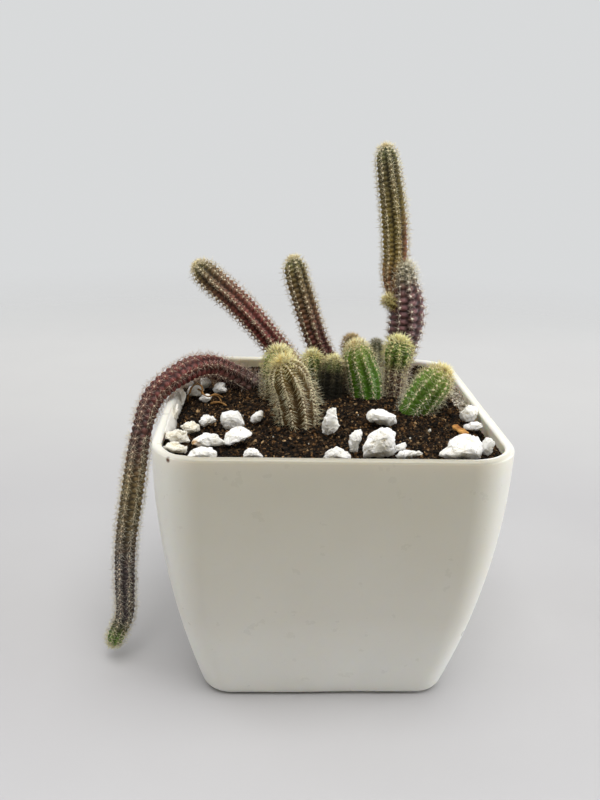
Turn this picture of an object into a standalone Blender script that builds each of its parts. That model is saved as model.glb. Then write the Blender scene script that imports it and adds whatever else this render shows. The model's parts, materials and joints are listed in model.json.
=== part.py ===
"""Potted monkey tail cactus.

A square white pot filled with potting mix, with thirteen ribbed, spiny stems standing in plain
holes in the soil. One long stem arches over the left rim and hangs down outside. White pumice
stones, a chip of bark, two flakes and a dry fibre lie on the soil.

Lengths are in metres, +Z is up, and the origin is the middle of the pot's underside. The front
of the pot faces -Y.
"""

import math
import random
from collections import namedtuple

import bmesh
import bpy
from mathutils import Matrix, Vector, noise
from mathutils.bvhtree import BVHTree

MM = 0.001

# Pot
POT_WIDTH = 120.0 * MM
POT_HEIGHT = 100.7 * MM
BASE_WIDTH = 89.1 * MM
RIM_CORNER = 16.8 * MM
BASE_CORNER = 10.6 * MM
FLARE = 1.88
WALL = 2.4 * MM
LIP = 3.2 * MM
LIP_ROUND = 1.2 * MM
FOOT_ROUND = 3.0 * MM
FLOOR = 2.4 * MM
DRAIN_RADIUS = 3.0 * MM
DRAIN_REACH = 26.0 * MM
DRAIN_SIDES = 16
DRAIN_CUT = 3.0 * FLOOR
OUTER_LEVELS = (0.09, 0.18, 0.29, 0.42, 0.57, 0.73, 0.87)
INNER_LEVELS = (0.94, 0.83, 0.68, 0.5, 0.32, 0.17)
ROUND_STEPS = (0, 45, 90)
CORNER_STEPS = 4
SIDE_STEPS = 1

# Soil
GAP = 0.3 * MM
SOIL_LEVEL = 96.0 * MM
MOUND_HEIGHT = 1.3 * MM
MOUND_SPREAD = 34.0 * MM
HEAP_PLACE = (45.0 * MM, 49.0 * MM)
HEAP_HEIGHT = 3.4 * MM
HEAP_SPREAD = 9.0 * MM
LUMP_HEIGHT = 0.6 * MM
LUMP_SIZE = 9.0 * MM
SURFACE_RINGS = (0.9, 0.76, 0.6, 0.42, 0.2)

# Stems
RIBS = 8
SIDES = 2 * RIBS
GROOVE = 0.78
DIMPLE = 0.9
RING_SPACING = 2.9 * MM
BASE_CAP = 1.0 * MM
BASE_RING = 0.3 * MM
BASE_FULLNESS = 0.8
BURIED = 8.5 * MM
BURIED_FULLNESS = 0.92
BRANCH_ROOT = 5.0 * MM
CAP_LENGTH = 1.15
CAP_ANGLES = (32, 64)
HOLE_SIDES = 10
HOLE_CLEAR = 0.45 * MM
HOLE_EXTRA = 1.4
HOLE_STEP = 4.5 * MM
SPINE_SIDES = 3
SPINE_RADIUS = 0.33 * MM
SPINE_ROOT = 1.1 * MM
SPINE_CLEAR = 0.45 * MM
ROOT_PLACE = (0.22, 0.5)
ROOT_DEPTH = 0.95
LEAN = 0.25
LEAN_SPREAD = 0.12
SIDE_SPREAD = 0.2
LENGTH_SPREAD = (0.85, 1.1)
CROWN_SPINES = 4
CROWN_WIDTH = 0.7 * MM
CROWN_DEPTH = 0.2 * MM
CROWN_LEAN = 0.35
NEIGHBOUR_SPINES = 0.6 * MM

# A stem's points run from its buried end to its tip, as (x, y, z, radius) in millimetres. The
# radius is to the tops of the tubercles, and mouth is the length that the hole in the soil takes.
Stem = namedtuple("Stem", "name points mouth spine crown colour")

IVORY = (0.78, 0.76, 0.70)
PEAT = (0.05, 0.032, 0.02)
PUMICE = (0.80, 0.79, 0.75)
BARK = (0.36, 0.17, 0.06)
STRAW = (0.20, 0.11, 0.05)
PLUM = (0.16, 0.060, 0.062)
OLIVE = (0.15, 0.13, 0.060)
BROWN = (0.13, 0.085, 0.065)
GREEN = (0.12, 0.22, 0.040)
GREY_GREEN = (0.15, 0.17, 0.08)

TRAILING = Stem(
    "stem_trailing",
    (
        (-16.0, 31.5, 89.0, 4.6),
        (-24.5, 30.5, 93.8, 5.0),
        (-30.6, 28.5, 97.4, 5.2),
        (-36.0, 25.0, 101.8, 5.0),
        (-41.7, 20.5, 106.1, 4.8),
        (-46.5, 16.0, 108.6, 4.7),
        (-52.3, 8.3, 109.5, 4.6),
        (-59.4, 0.8, 106.6, 4.4),
        (-64.0, -3.0, 102.9, 4.2),
        (-66.7, -6.2, 97.8, 4.0),
        (-68.6, -10.0, 90.8, 3.8),
        (-70.4, -13.0, 80.4, 4.1),
        (-72.5, -16.0, 65.7, 4.2),
        (-74.9, -19.0, 48.4, 4.0),
        (-75.5, -21.0, 32.0, 3.8),
        (-75.8, -22.4, 20.3, 3.5),
        (-78.9, -23.2, 12.3, 3.2),
        (-80.8, -23.6, 7.1, 3.1),
    ),
    36.0,
    1.6,
    1.4,
    PLUM,
)

LEANING = Stem(
    "stem_leaning",
    (
        (-2.0, 41.5, 88.0, 4.0),
        (-7.0, 40.3, 96.0, 4.4),
        (-13.4, 39.2, 105.0, 4.7),
        (-20.1, 38.0, 113.2, 4.9),
        (-30.8, 37.0, 125.9, 5.1),
        (-37.8, 36.7, 132.9, 5.2),
        (-44.2, 36.3, 138.5, 5.2),
        (-51.4, 36.0, 145.4, 5.0),
    ),
    19.0,
    1.6,
    2.0,
    PLUM,
)

BACK = Stem(
    "stem_back",
    (
        (8.2, 43.5, 87.5, 4.0),
        (5.2, 44.0, 96.5, 4.4),
        (2.5, 44.0, 105.4, 4.7),
        (-1.5, 44.8, 113.6, 4.9),
        (-7.1, 45.5, 129.9, 5.0),
        (-9.9, 46.0, 138.4, 4.9),
        (-12.0, 46.0, 147.2, 4.7),
    ),
    15.0,
    1.6,
    2.0,
    OLIVE,
)

SEGMENT = Stem(
    "stem_tall",
    (
        (33.5, 41.0, 87.5, 4.0),
        (34.2, 41.4, 97.0, 5.0),
        (35.2, 42.0, 107.2, 6.0),
        (36.2, 42.0, 115.2, 7.0),
        (37.0, 42.0, 123.0, 7.4),
        (36.6, 42.0, 130.7, 7.0),
        (35.3, 42.0, 138.3, 5.2),
        (34.4, 42.0, 147.0, 3.4),
    ),
    15.0,
    1.8,
    2.2,
    BROWN,
)

TALL = Stem(
    "tall_branch",
    (
        (34.0, 42.0, 127.0, 2.2),
        (31.3, 42.5, 133.0, 2.8),
        (30.0, 43.5, 138.2, 3.8),
        (30.2, 44.5, 143.2, 4.7),
        (30.8, 45.0, 149.0, 5.1),
        (30.4, 45.0, 155.0, 5.3),
        (29.4, 44.6, 163.6, 5.3),
        (27.8, 44.0, 172.6, 5.1),
        (25.8, 43.5, 182.4, 4.7),
        (23.8, 43.2, 192.8, 4.0),
    ),
    0.0,
    1.9,
    2.2,
    OLIVE,
)

BUD = Stem(
    "bud",
    (
        (33.0, 41.0, 128.6, 1.7),
        (29.9, 39.7, 130.2, 2.2),
        (27.2, 38.6, 132.4, 2.2),
    ),
    0.0,
    1.6,
    2.0,
    GREEN,
)

BALL = Stem(
    "stem_ball",
    (
        (30.6, 21.2, 88.0, 3.4),
        (29.4, 19.8, 97.0, 3.9),
        (29.3, 19.5, 104.5, 4.0),
        (29.6, 19.6, 108.8, 4.4),
        (30.2, 19.8, 113.2, 5.4),
        (30.4, 19.8, 119.4, 5.3),
    ),
    14.0,
    1.8,
    2.2,
    BROWN,
)

DARK = Stem(
    "stem_dark",
    (
        (22.4, 34.6, 88.0, 2.8),
        (22.8, 34.2, 97.0, 3.1),
        (23.2, 33.6, 106.8, 3.3),
        (23.2, 33.0, 115.4, 3.2),
    ),
    14.0,
    1.5,
    1.6,
    GREY_GREEN,
)

HAIRY = Stem(
    "stem_hairy",
    (
        (-10.0, -14.6, 87.5, 5.4),
        (-10.6, -15.4, 96.0, 6.4),
        (-11.6, -15.2, 103.4, 6.8),
        (-13.5, -14.4, 111.0, 6.8),
        (-18.2, -13.2, 121.6, 6.6),
    ),
    15.0,
    3.0,
    2.8,
    BROWN,
)

YELLOW = Stem(
    "stem_yellow",
    (
        (-18.4, 16.0, 88.0, 4.6),
        (-18.6, 14.8, 97.0, 5.4),
        (-18.2, 12.8, 107.0, 5.8),
        (-17.2, 11.2, 116.8, 5.8),
    ),
    14.0,
    1.9,
    2.2,
    GREEN,
)

SMALL = Stem(
    "stem_small",
    (
        (-2.2, 28.4, 88.0, 3.2),
        (-2.3, 28.2, 97.0, 3.7),
        (-2.9, 28.0, 104.2, 4.0),
        (-4.0, 27.8, 110.8, 3.9),
    ),
    14.0,
    1.7,
    2.0,
    GREEN,
)

SHAGGY = Stem(
    "stem_shaggy",
    (
        (3.2, 14.2, 88.0, 3.7),
        (3.3, 14.0, 97.0, 4.3),
        (3.5, 13.9, 105.4, 4.5),
        (4.2, 13.8, 112.6, 4.4),
    ),
    14.0,
    2.4,
    2.2,
    GREY_GREEN,
)

BRIGHT = Stem(
    "stem_green",
    (
        (18.0, 18.0, 87.5, 4.8),
        (18.2, 17.7, 97.0, 6.4),
        (17.0, 17.4, 104.4, 6.5),
        (14.4, 17.0, 112.0, 5.8),
        (12.6, 16.8, 118.4, 5.2),
    ),
    15.0,
    1.8,
    2.2,
    GREEN,
)

BROWNISH = Stem(
    "stem_brown",
    (
        (15.2, 38.4, 88.0, 3.2),
        (14.6, 38.2, 97.0, 3.7),
        (14.2, 38.0, 106.4, 4.0),
        (13.2, 38.0, 115.8, 4.0),
    ),
    14.0,
    1.8,
    2.2,
    BROWN,
)

RIGHT = Stem(
    "stem_right",
    (
        (31.4, 1.8, 88.6, 5.0),
        (35.4, 1.2, 97.0, 6.1),
        (39.0, 0.6, 103.4, 6.5),
        (42.0, 0.2, 108.2, 6.3),
        (45.2, 0.0, 112.9, 5.7),
    ),
    20.0,
    1.9,
    2.2,
    GREEN,
)

STANDING = (
    TRAILING,
    LEANING,
    BACK,
    SEGMENT,
    BALL,
    DARK,
    HAIRY,
    YELLOW,
    SMALL,
    SHAGGY,
    BRIGHT,
    BROWNISH,
    RIGHT,
)

# Stones, as place, size and turn, in millimetres and degrees. Each is lowered until it rests.
Stone = namedtuple("Stone", "x y width depth height turn")

STONES = (
    Stone(14.2, -46.0, 11.2, 9.4, 10.8, 10),
    Stone(7.2, -43.4, 5.2, 5.0, 8.4, 20),
    Stone(42.0, -47.8, 14.8, 9.6, 8.6, -4),
    Stone(19.2, -19.0, 11.4, 7.8, 6.2, 5),
    Stone(0.0, -28.0, 6.2, 5.2, 10.4, 12),
    Stone(52.8, -11.6, 7.6, 7.0, 6.8, 12),
    Stone(-34.6, -22.0, 8.8, 6.8, 7.0, 8),
    Stone(-32.0, -37.2, 9.4, 7.2, 6.0, -22),
    Stone(-26.2, -15.4, 5.4, 4.4, 4.4, 35),
    Stone(-27.2, -48.4, 6.8, 5.2, 3.6, -30),
    Stone(1.2, -49.4, 9.2, 5.8, 4.2, 0),
    Stone(-43.6, -20.6, 6.8, 5.2, 4.8, 25),
    Stone(-48.6, -26.6, 7.0, 4.6, 4.4, 0),
    Stone(-52.4, -35.2, 8.4, 6.0, 5.2, 10),
    Stone(-52.4, -43.8, 7.8, 6.0, 4.0, -5),
    Stone(-42.4, -38.4, 11.4, 6.4, 4.8, -12),
    Stone(-42.4, -48.6, 9.6, 5.6, 4.0, 4),
    Stone(24.4, -47.4, 9.0, 3.8, 3.2, 4),
    Stone(22.2, -42.2, 4.6, 3.6, 3.6, 15),
    Stone(52.6, -21.4, 6.6, 5.0, 3.6, -10),
    Stone(51.8, -43.6, 4.4, 4.0, 6.4, 0),
    Stone(-50.4, 13.2, 7.0, 4.8, 5.0, 20),
    Stone(-47.4, 23.8, 5.8, 4.6, 5.6, 60),
    Stone(-41.2, 17.8, 6.8, 5.0, 5.4, 40),
    Stone(-46.2, 7.4, 5.4, 4.0, 3.4, 10),
    Stone(-54.0, 19.0, 5.2, 4.4, 4.2, 0),
)
FACETS = 9
FACET_DEPTH = (0.58, 0.82)
FLAT_ANGLE = 12
DROP_FROM = POT_HEIGHT + 12.0 * MM

# Thin broken plates, as size, place and turns about X, Y and Z, in millimetres and degrees.
Plate = namedtuple("Plate", "name size place turns")

CHIP = Plate("chip", (6.6, 2.8, 1.3), (47.2, -23.6), (0, 12, -58))
FLAKE = Plate("flake", (1.0, 9.0, 4.8), (-55.3, -12.4), (0, 10, 2))
PEEL = Plate("peel", (1.0, 6.0, 5.2), (-54.9, 5.6), (0, 14, 14))
PLATE_BEVEL = 0.3

FIBRE = (
    (-52.5, 6.5, 0.6),
    (-51.5, 7.5, 3.2),
    (-49.5, 8.0, 4.4),
    (-47.6, 7.6, 3.4),
    (-47.2, 6.2, 1.2),
    (-45.0, 4.2, 0.6),
    (-42.0, 4.0, 1.6),
    (-39.2, 3.4, 0.6),
)
FIBRE_RADIUS = 0.4 * MM
FIBRE_SAMPLES = 3


def clear_scene():
    for old in list(bpy.data.objects):
        bpy.data.objects.remove(old, do_unlink=True)


def make_collection(name):
    found = bpy.data.collections.new(name)
    bpy.context.scene.collection.children.link(found)
    return found


def make_material(name, colour, roughness):
    material = bpy.data.materials.new(name)
    material.use_nodes = True
    shader = material.node_tree.nodes["Principled BSDF"]
    shader.inputs["Base Color"].default_value = (*colour, 1.0)
    shader.inputs["Roughness"].default_value = roughness
    shader.inputs["Metallic"].default_value = 0.0
    return material


def add_object(name, bm, collection, material=None):
    mesh = bpy.data.meshes.new(name)
    bm.to_mesh(mesh)
    bm.free()
    made = bpy.data.objects.new(name, mesh)
    collection.objects.link(made)
    if material:
        mesh.materials.append(material)
    return made


def shade_round(piece, degrees=40):
    piece.data.shade_smooth()
    piece.data.set_sharp_from_angle(angle=math.radians(degrees))


def evaluated_mesh(piece):
    graph = bpy.context.evaluated_depsgraph_get()
    return bpy.data.meshes.new_from_object(piece.evaluated_get(graph))


def apply_modifiers(piece):
    """Keeps the shape that the modifiers make, and removes them."""
    shaped = evaluated_mesh(piece)
    piece.modifiers.clear()
    old = piece.data
    piece.data = shaped
    bpy.data.meshes.remove(old)


def rounded_square(half, corner, height):
    """Points around a square with rounded corners, anticlockwise from the right side's middle."""
    points = []
    for turn in range(4):
        quarter = Matrix.Rotation(turn * math.pi / 2, 3, "Z")
        centre = Vector((half - corner, half - corner, height))
        for step in range(CORNER_STEPS + 1):
            angle = step * math.pi / 2 / CORNER_STEPS
            arc = Vector((math.cos(angle), math.sin(angle), 0.0)) * corner
            points.append(quarter @ (centre + arc))
        for step in range(1, SIDE_STEPS + 1):
            along = 1.0 - 2.0 * step / (SIDE_STEPS + 1)
            points.append(quarter @ Vector(((half - corner) * along, half, height)))
    return points


def loft(sections, closed_tip=None):
    """A closed mesh through the sections: a flat cap at the start, and a cap or a tip at the end."""
    bm = bmesh.new()
    rings = [[bm.verts.new(point) for point in section] for section in sections]
    count = len(rings[0])
    for lower, upper in zip(rings, rings[1:]):
        for i in range(count):
            j = (i + 1) % count
            bm.faces.new((lower[i], lower[j], upper[j], upper[i]))
    bm.faces.new(list(reversed(rings[0])))
    if closed_tip is None:
        bm.faces.new(rings[-1])
    else:
        tip = bm.verts.new(closed_tip)
        for i in range(count):
            bm.faces.new((rings[-1][i], rings[-1][(i + 1) % count], tip))
    bmesh.ops.recalc_face_normals(bm, faces=bm.faces)
    return bm


def outer_half(height):
    """Half the pot's outer width at a height: the sides bow out and end upright at the rim."""
    share = min(max(height / POT_HEIGHT, 0.0), 1.0)
    flare = 1.0 - (1.0 - share) ** FLARE
    return (BASE_WIDTH + (POT_WIDTH - BASE_WIDTH) * flare) / 2


def section(height, inset):
    """The pot's section at a height, moved in from its outer surface."""
    share = min(max(height / POT_HEIGHT, 0.0), 1.0)
    corner = BASE_CORNER + (RIM_CORNER - BASE_CORNER) * share - inset
    return rounded_square(outer_half(height) - inset, corner, height)


def inner_sections(extra):
    """The pot's inside from below the lip down to the floor, moved in by a further gap."""
    found = [section(level * POT_HEIGHT, WALL + extra) for level in INNER_LEVELS]
    for degrees in ROUND_STEPS:
        angle = math.radians(degrees)
        height = FLOOR + extra + FOOT_ROUND * (1 - math.sin(angle))
        found.append(section(height, WALL + extra + FOOT_ROUND * (1 - math.cos(angle))))
    return found


def make_pot(parts, cutters):
    """The pot's wall, from the underside up the outside, over the lip and down to the floor."""
    sections = []
    for degrees in ROUND_STEPS:
        angle = math.radians(degrees)
        inset = FOOT_ROUND * (1 - math.sin(angle))
        sections.append(section(FOOT_ROUND * (1 - math.cos(angle)), inset))
    sections += [section(level * POT_HEIGHT, 0.0) for level in OUTER_LEVELS]
    for degrees in ROUND_STEPS:
        angle = math.radians(degrees)
        height = POT_HEIGHT - LIP_ROUND * (1 - math.sin(angle))
        sections.append(section(height, LIP_ROUND * (1 - math.cos(angle))))
    for degrees in reversed(ROUND_STEPS):
        angle = math.radians(degrees)
        height = POT_HEIGHT - LIP_ROUND * (1 - math.sin(angle))
        sections.append(section(height, LIP - LIP_ROUND * (1 - math.cos(angle))))
    sections += inner_sections(0.0)
    pot = add_object("pot", loft(sections), parts, make_material("pot", IVORY, 0.32))
    for turn in range(4):
        corner = Matrix.Rotation(math.radians(45 + 90 * turn), 3, "Z")
        bm = bmesh.new()
        bmesh.ops.create_cone(
            bm,
            cap_ends=True,
            segments=DRAIN_SIDES,
            radius1=DRAIN_RADIUS,
            radius2=DRAIN_RADIUS,
            depth=DRAIN_CUT,
        )
        bmesh.ops.translate(bm, verts=bm.verts, vec=corner @ Vector((DRAIN_REACH, 0.0, FLOOR / 2)))
        cut(pot, add_object(f"drain_cutter_{turn + 1}", bm, cutters))
    shade_round(pot)
    return pot


def cut(piece, cutter):
    cutter.hide_render = True
    cutter.display_type = "WIRE"
    boolean = piece.modifiers.new(cutter.name, "BOOLEAN")
    boolean.operation = "DIFFERENCE"
    boolean.object = cutter


def soil_height(x, y):
    """The height of the soil's surface: nearly level, with a low mound and a heap at the back."""
    mound = MOUND_HEIGHT * math.exp(-(x * x + y * y) / MOUND_SPREAD**2)
    away = (x - HEAP_PLACE[0]) ** 2 + (y - HEAP_PLACE[1]) ** 2
    heap = HEAP_HEIGHT * math.exp(-away / HEAP_SPREAD**2)
    lumps = LUMP_HEIGHT * noise.noise(Vector((x / LUMP_SIZE, y / LUMP_SIZE, 3.7)))
    return SOIL_LEVEL + mound + heap + lumps


def between(lower, upper, height):
    """The point at a height on the line from one point to another."""
    share = (height - lower.z) / (upper.z - lower.z)
    return lower.lerp(upper, share)


def make_soil(parts, cutters, stems):
    """The potting mix: the pot's inside less a gap, a lumpy top, and a hole for each stem."""
    walls = list(reversed(inner_sections(GAP)))
    under_lip = section(POT_HEIGHT - LIP_ROUND, LIP + GAP)
    edge = []
    for lower, upper in zip(walls[-1], under_lip):
        edge.append(between(lower, upper, soil_height(upper.x, upper.y)))
    sections = walls + [edge]
    for share in SURFACE_RINGS:
        ring = [Vector((p.x * share, p.y * share, 0.0)) for p in edge]
        for point in ring:
            point.z = soil_height(point.x, point.y)
        sections.append(ring)
    middle = Vector((0.0, 0.0, soil_height(0.0, 0.0)))
    soil = add_object("soil", loft(sections, middle), parts, make_material("soil", PEAT, 0.95))
    for stem in stems:
        cut(soil, make_hole_cutter(stem, cutters))
    return soil


def curve_through(points, samples=10):
    """A smooth curve through points given in millimetres, as (length so far, place, radius)."""
    rows = [Vector((*(value * MM for value in point),)) for point in points]
    rows = [2 * rows[0] - rows[1]] + rows + [2 * rows[-1] - rows[-2]]
    fine = []
    for before, start, end, after in zip(rows, rows[1:], rows[2:], rows[3:]):
        for step in range(samples):
            t = step / samples
            fine.append(
                0.5
                * (
                    2 * start
                    + (end - before) * t
                    + (2 * before - 5 * start + 4 * end - after) * t**2
                    + (3 * start - before - 3 * end + after) * t**3
                )
            )
    fine.append(rows[-2])
    found = []
    length = 0.0
    for i, row in enumerate(fine):
        if i:
            length += (row.xyz - fine[i - 1].xyz).length
        found.append((length, row.xyz, row.w))
    return found


def curve_at(curve, length):
    """The place, direction and radius at a length along a curve."""
    for low, high in zip(curve, curve[1:]):
        if length <= high[0]:
            break
    share = (length - low[0]) / (high[0] - low[0])
    place = low[1].lerp(high[1], share)
    return place, (high[1] - low[1]).normalized(), low[2] + (high[2] - low[2]) * share


def frames_along(curve, stations):
    """A place, a radius and two axes across the curve at each station, turned as little as can be."""
    found = []
    side = None
    for station in stations:
        place, ahead, radius = curve_at(curve, station)
        if side is None:
            side = ahead.cross(Vector((0.0, 1.0, 0.1))).normalized()
        side = (side - ahead * side.dot(ahead)).normalized()
        found.append((place, ahead, side, ahead.cross(side), radius))
    return found


def body_stations(curve, buried):
    """Lengths along a stem for its rings, and how full the stem is there: both ends are rounded."""
    total = curve[-1][0]
    cap = CAP_LENGTH * curve[-1][2]
    stations = [(BASE_RING, BASE_FULLNESS)]
    first = max(buried, BASE_CAP)
    rings = max(2, round((total - cap - first) / RING_SPACING))
    for i in range(rings + 1):
        stations.append((first + (total - cap - first) * i / rings, 1.0))
    for degrees in CAP_ANGLES:
        angle = math.radians(degrees)
        stations.append((total - cap + cap * math.sin(angle), math.cos(angle)))
    return stations


def swept_ball(curve, stations, sides, relief):
    """A sphere's mesh drawn out along a curve. relief gives a share of the radius at (ring, side)."""
    bm = bmesh.new()
    turns = len(stations) + 1
    bmesh.ops.create_uvsphere(bm, u_segments=sides, v_segments=turns, radius=1.0)
    frames = frames_along(curve, [station for station, _ in stations])
    for vertex in bm.verts:
        ring = turns - round(math.acos(max(-1.0, min(1.0, vertex.co.z))) / math.pi * turns)
        if ring == 0:
            vertex.co = curve[0][1]
        elif ring == turns:
            vertex.co = curve[-1][1]
        else:
            column = round(math.atan2(vertex.co.y, vertex.co.x) / (2 * math.pi) * sides) % sides
            angle = 2 * math.pi * column / sides
            place, _, across, over, radius = frames[ring - 1]
            reach = radius * stations[ring - 1][1] * relief(ring - 1, column)
            vertex.co = place + (across * math.cos(angle) + over * math.sin(angle)) * reach
    return bm


def rib_relief(stations, buried):
    """Ribs with a tubercle at every second ring, alternating from rib to rib, and plain below ground."""

    def relief(ring, column):
        length, fullness = stations[ring]
        if length <= buried:
            return BURIED_FULLNESS
        if column % 2:
            depth = 1.0 - GROOVE
        else:
            depth = 0.0 if is_tubercle(ring, column) else 1.0 - DIMPLE
        return 1.0 - depth * fullness

    return relief


def is_tubercle(ring, column):
    return (ring + column // 2) % 2 == 0


def make_hole_cutter(stem, cutters):
    """A plain hole that clears the stem from its buried end up to where it has left the soil."""
    widen = 1.0 / math.cos(math.pi / HOLE_SIDES)
    rows = [Vector(row) for row in stem.points]
    below = rows[0] + (rows[0] - rows[1]).normalized() * HOLE_EXTRA
    curve = curve_through([below] + rows)
    clear = [(length, place, (radius + HOLE_CLEAR) * widen) for length, place, radius in curve]
    mouth = [row for row in clear if row[0] <= stem.mouth * MM]
    total = mouth[-1][0]
    steps = max(2, round(total / HOLE_STEP))
    inner = [i / steps for i in range(1, steps)]
    stations = [(total * share, 1.0) for share in (0.01, *inner, 0.99)]
    bm = swept_ball(mouth, stations, HOLE_SIDES, lambda ring, column: 1.0)
    return add_object("hole_for_" + stem.name, bm, cutters)


def spine_places(stem, stations, curve, buried):
    """Root, direction and length of each spine: one beside every second tubercle, and a crown."""
    draw = random.Random(stem.name)
    frames = frames_along(curve, [station for station, _ in stations])
    found = []
    for ring, (low, high) in enumerate(zip(stations, stations[1:])):
        if low[0] <= buried:
            continue
        share = ROOT_PLACE[1]
        fullness = low[1] + (high[1] - low[1]) * share
        place, ahead, radius = curve_at(curve, low[0] + (high[0] - low[0]) * share)
        _, _, across, over, _ = frames[ring]
        for rib in range(RIBS):
            column = 2 * rib
            if not is_tubercle(ring, column) or (ring // 2 + rib // 2) % 2:
                continue
            angle = 2 * math.pi * (column + ROOT_PLACE[0]) / SIDES
            outward = across * math.cos(angle) + over * math.sin(angle)
            along_side = over * math.cos(angle) - across * math.sin(angle)
            lean = LEAN + (1.0 - fullness) + draw.uniform(-LEAN_SPREAD, LEAN_SPREAD)
            sideways = draw.uniform(-SIDE_SPREAD, SIDE_SPREAD)
            direction = (outward + ahead * lean + along_side * sideways).normalized()
            surface = place + outward * radius * fullness * ROOT_DEPTH
            found.append((surface, direction, stem.spine * MM * draw.uniform(*LENGTH_SPREAD)))
    tip = curve[-1][1]
    _, ahead, across, over, _ = frames[-1]
    for i in range(CROWN_SPINES):
        angle = 2 * math.pi * (i + 0.4) / CROWN_SPINES
        outward = across * math.cos(angle) + over * math.sin(angle)
        surface = tip + outward * CROWN_WIDTH - ahead * CROWN_DEPTH
        direction = (ahead + outward * CROWN_LEAN).normalized()
        found.append((surface, direction, stem.crown * MM * draw.uniform(*LENGTH_SPREAD)))
    return found


def distance_to_stem(point, curve):
    """How far a point is from a stem's surface, from the nearest place on its centreline."""
    return min((point - place).length - radius for _, place, radius in curve)


def has_room(point, others):
    """Whether a point of a spine is clear of the soil, the pot's wall and the other stems."""
    wall = max(abs(point.x), abs(point.y))
    if wall < POT_WIDTH / 2 and point.z < soil_height(point.x, point.y) + SPINE_CLEAR:
        return False
    inside = outer_half(point.z) - LIP - SPINE_CLEAR
    outside = outer_half(point.z) + SPINE_CLEAR
    if point.z < POT_HEIGHT + SPINE_CLEAR and inside < wall < outside:
        return False
    return all(distance_to_stem(point, curve) > SPINE_CLEAR + NEIGHBOUR_SPINES for curve in others)


def make_body(stem, collection, buried, material=None):
    curve = curve_through(stem.points)
    stations = body_stations(curve, buried)
    bm = swept_ball(curve, stations, SIDES, rib_relief(stations, buried))
    return add_object(stem.name, bm, collection, material), curve, stations


def make_stem(stem, parts, branches=()):
    """A stem with its branches, ribs and spines joined in one solid."""
    body, curve, stations = make_body(stem, parts, BURIED, make_material(stem.name, stem.colour, 0.6))
    extras = make_collection("repeats of " + stem.name)
    spines = spine_places(stem, stations, curve, BURIED)
    for branch in branches:
        _, branch_curve, branch_stations = make_body(branch, extras, 0.0)
        spines += spine_places(branch, branch_stations, branch_curve, BRANCH_ROOT)
    others = [curve_through(other.points) for other in STANDING if other is not stem]
    needle = bmesh.new()
    bmesh.ops.create_cone(
        needle, cap_ends=True, segments=SPINE_SIDES, radius1=SPINE_RADIUS, radius2=0.0, depth=1.0
    )
    bmesh.ops.translate(needle, verts=needle.verts, vec=(0.0, 0.0, 0.5))
    shape = bpy.data.meshes.new("needle")
    needle.to_mesh(shape)
    needle.free()
    for i, (surface, direction, length) in enumerate(spines):
        if not all(has_room(surface + direction * length * share, others) for share in (0.5, 1.0)):
            continue
        spine = bpy.data.objects.new(f"{stem.name}_spine_{i}", shape)
        turn = direction.to_track_quat("Z", "Y").to_matrix().to_4x4()
        stretch = Matrix.Diagonal((1.0, 1.0, length + SPINE_ROOT, 1.0))
        spine.matrix_world = Matrix.Translation(surface - direction * SPINE_ROOT) @ turn @ stretch
        extras.objects.link(spine)
    join(body, extras)
    bpy.data.meshes.remove(shape)
    shade_round(body, 24)


def join(body, extras):
    """Fuses everything in a collection to a body, and removes the collection's objects."""
    boolean = body.modifiers.new("union", "BOOLEAN")
    boolean.operation = "UNION"
    boolean.operand_type = "COLLECTION"
    boolean.collection = extras
    boolean.solver = "MANIFOLD"
    apply_modifiers(body)
    for repeat in list(extras.objects):
        bpy.data.objects.remove(repeat, do_unlink=True)
    bpy.data.collections.remove(extras)


def rest_on(piece, carriers):
    """Lowers a piece straight down until it clears what is under it by the gap."""
    bpy.context.view_layer.update()
    trees = []
    tops = []
    for carrier in carriers:
        mesh = evaluated_mesh(carrier)
        corners = [carrier.matrix_world @ vertex.co for vertex in mesh.vertices]
        trees.append(BVHTree.FromPolygons(corners, [list(face.vertices) for face in mesh.polygons]))
        tops += corners
        bpy.data.meshes.remove(mesh)
    own = [piece.matrix_world @ vertex.co for vertex in piece.data.vertices]
    own_tree = BVHTree.FromPolygons(own, [list(face.vertices) for face in piece.data.polygons])
    drops = []
    for tree in trees:
        for point in own:
            hit = tree.ray_cast(point, Vector((0, 0, -1)))
            if hit[0]:
                drops.append(hit[3])
    for point in tops:
        hit = own_tree.ray_cast(point, Vector((0, 0, 1)))
        if hit[0]:
            drops.append(hit[3])
    piece.data.transform(Matrix.Translation((0, 0, GAP - min(drops))))
    piece.data.update()


def make_stone(name, stone, parts, material, carriers):
    """A pumice stone: a ball shaved flat on several sides, then lowered until it rests."""
    draw = random.Random(name)
    bm = bmesh.new()
    bmesh.ops.create_icosphere(bm, subdivisions=2, radius=1.0)
    for _ in range(FACETS):
        normal = Vector([draw.gauss(0, 1) for _ in range(3)]).normalized()
        depth = draw.uniform(*FACET_DEPTH)
        for vertex in bm.verts:
            over = vertex.co.dot(normal) - depth
            if over > 0:
                vertex.co -= normal * over
    bmesh.ops.dissolve_limit(bm, angle_limit=math.radians(FLAT_ANGLE), verts=bm.verts, edges=bm.edges)
    spans = [max(v.co[i] for v in bm.verts) - min(v.co[i] for v in bm.verts) for i in range(3)]
    sizes = (stone.width, stone.depth, stone.height)
    scale = [size * MM / span for size, span in zip(sizes, spans)]
    place = Matrix.Translation((stone.x * MM, stone.y * MM, DROP_FROM))
    turn = Matrix.Rotation(math.radians(stone.turn), 4, "Z")
    bm.transform(place @ turn @ Matrix.Diagonal((*scale, 1.0)))
    piece = add_object(name, bm, parts, material)
    rest_on(piece, carriers)
    return piece


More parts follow.
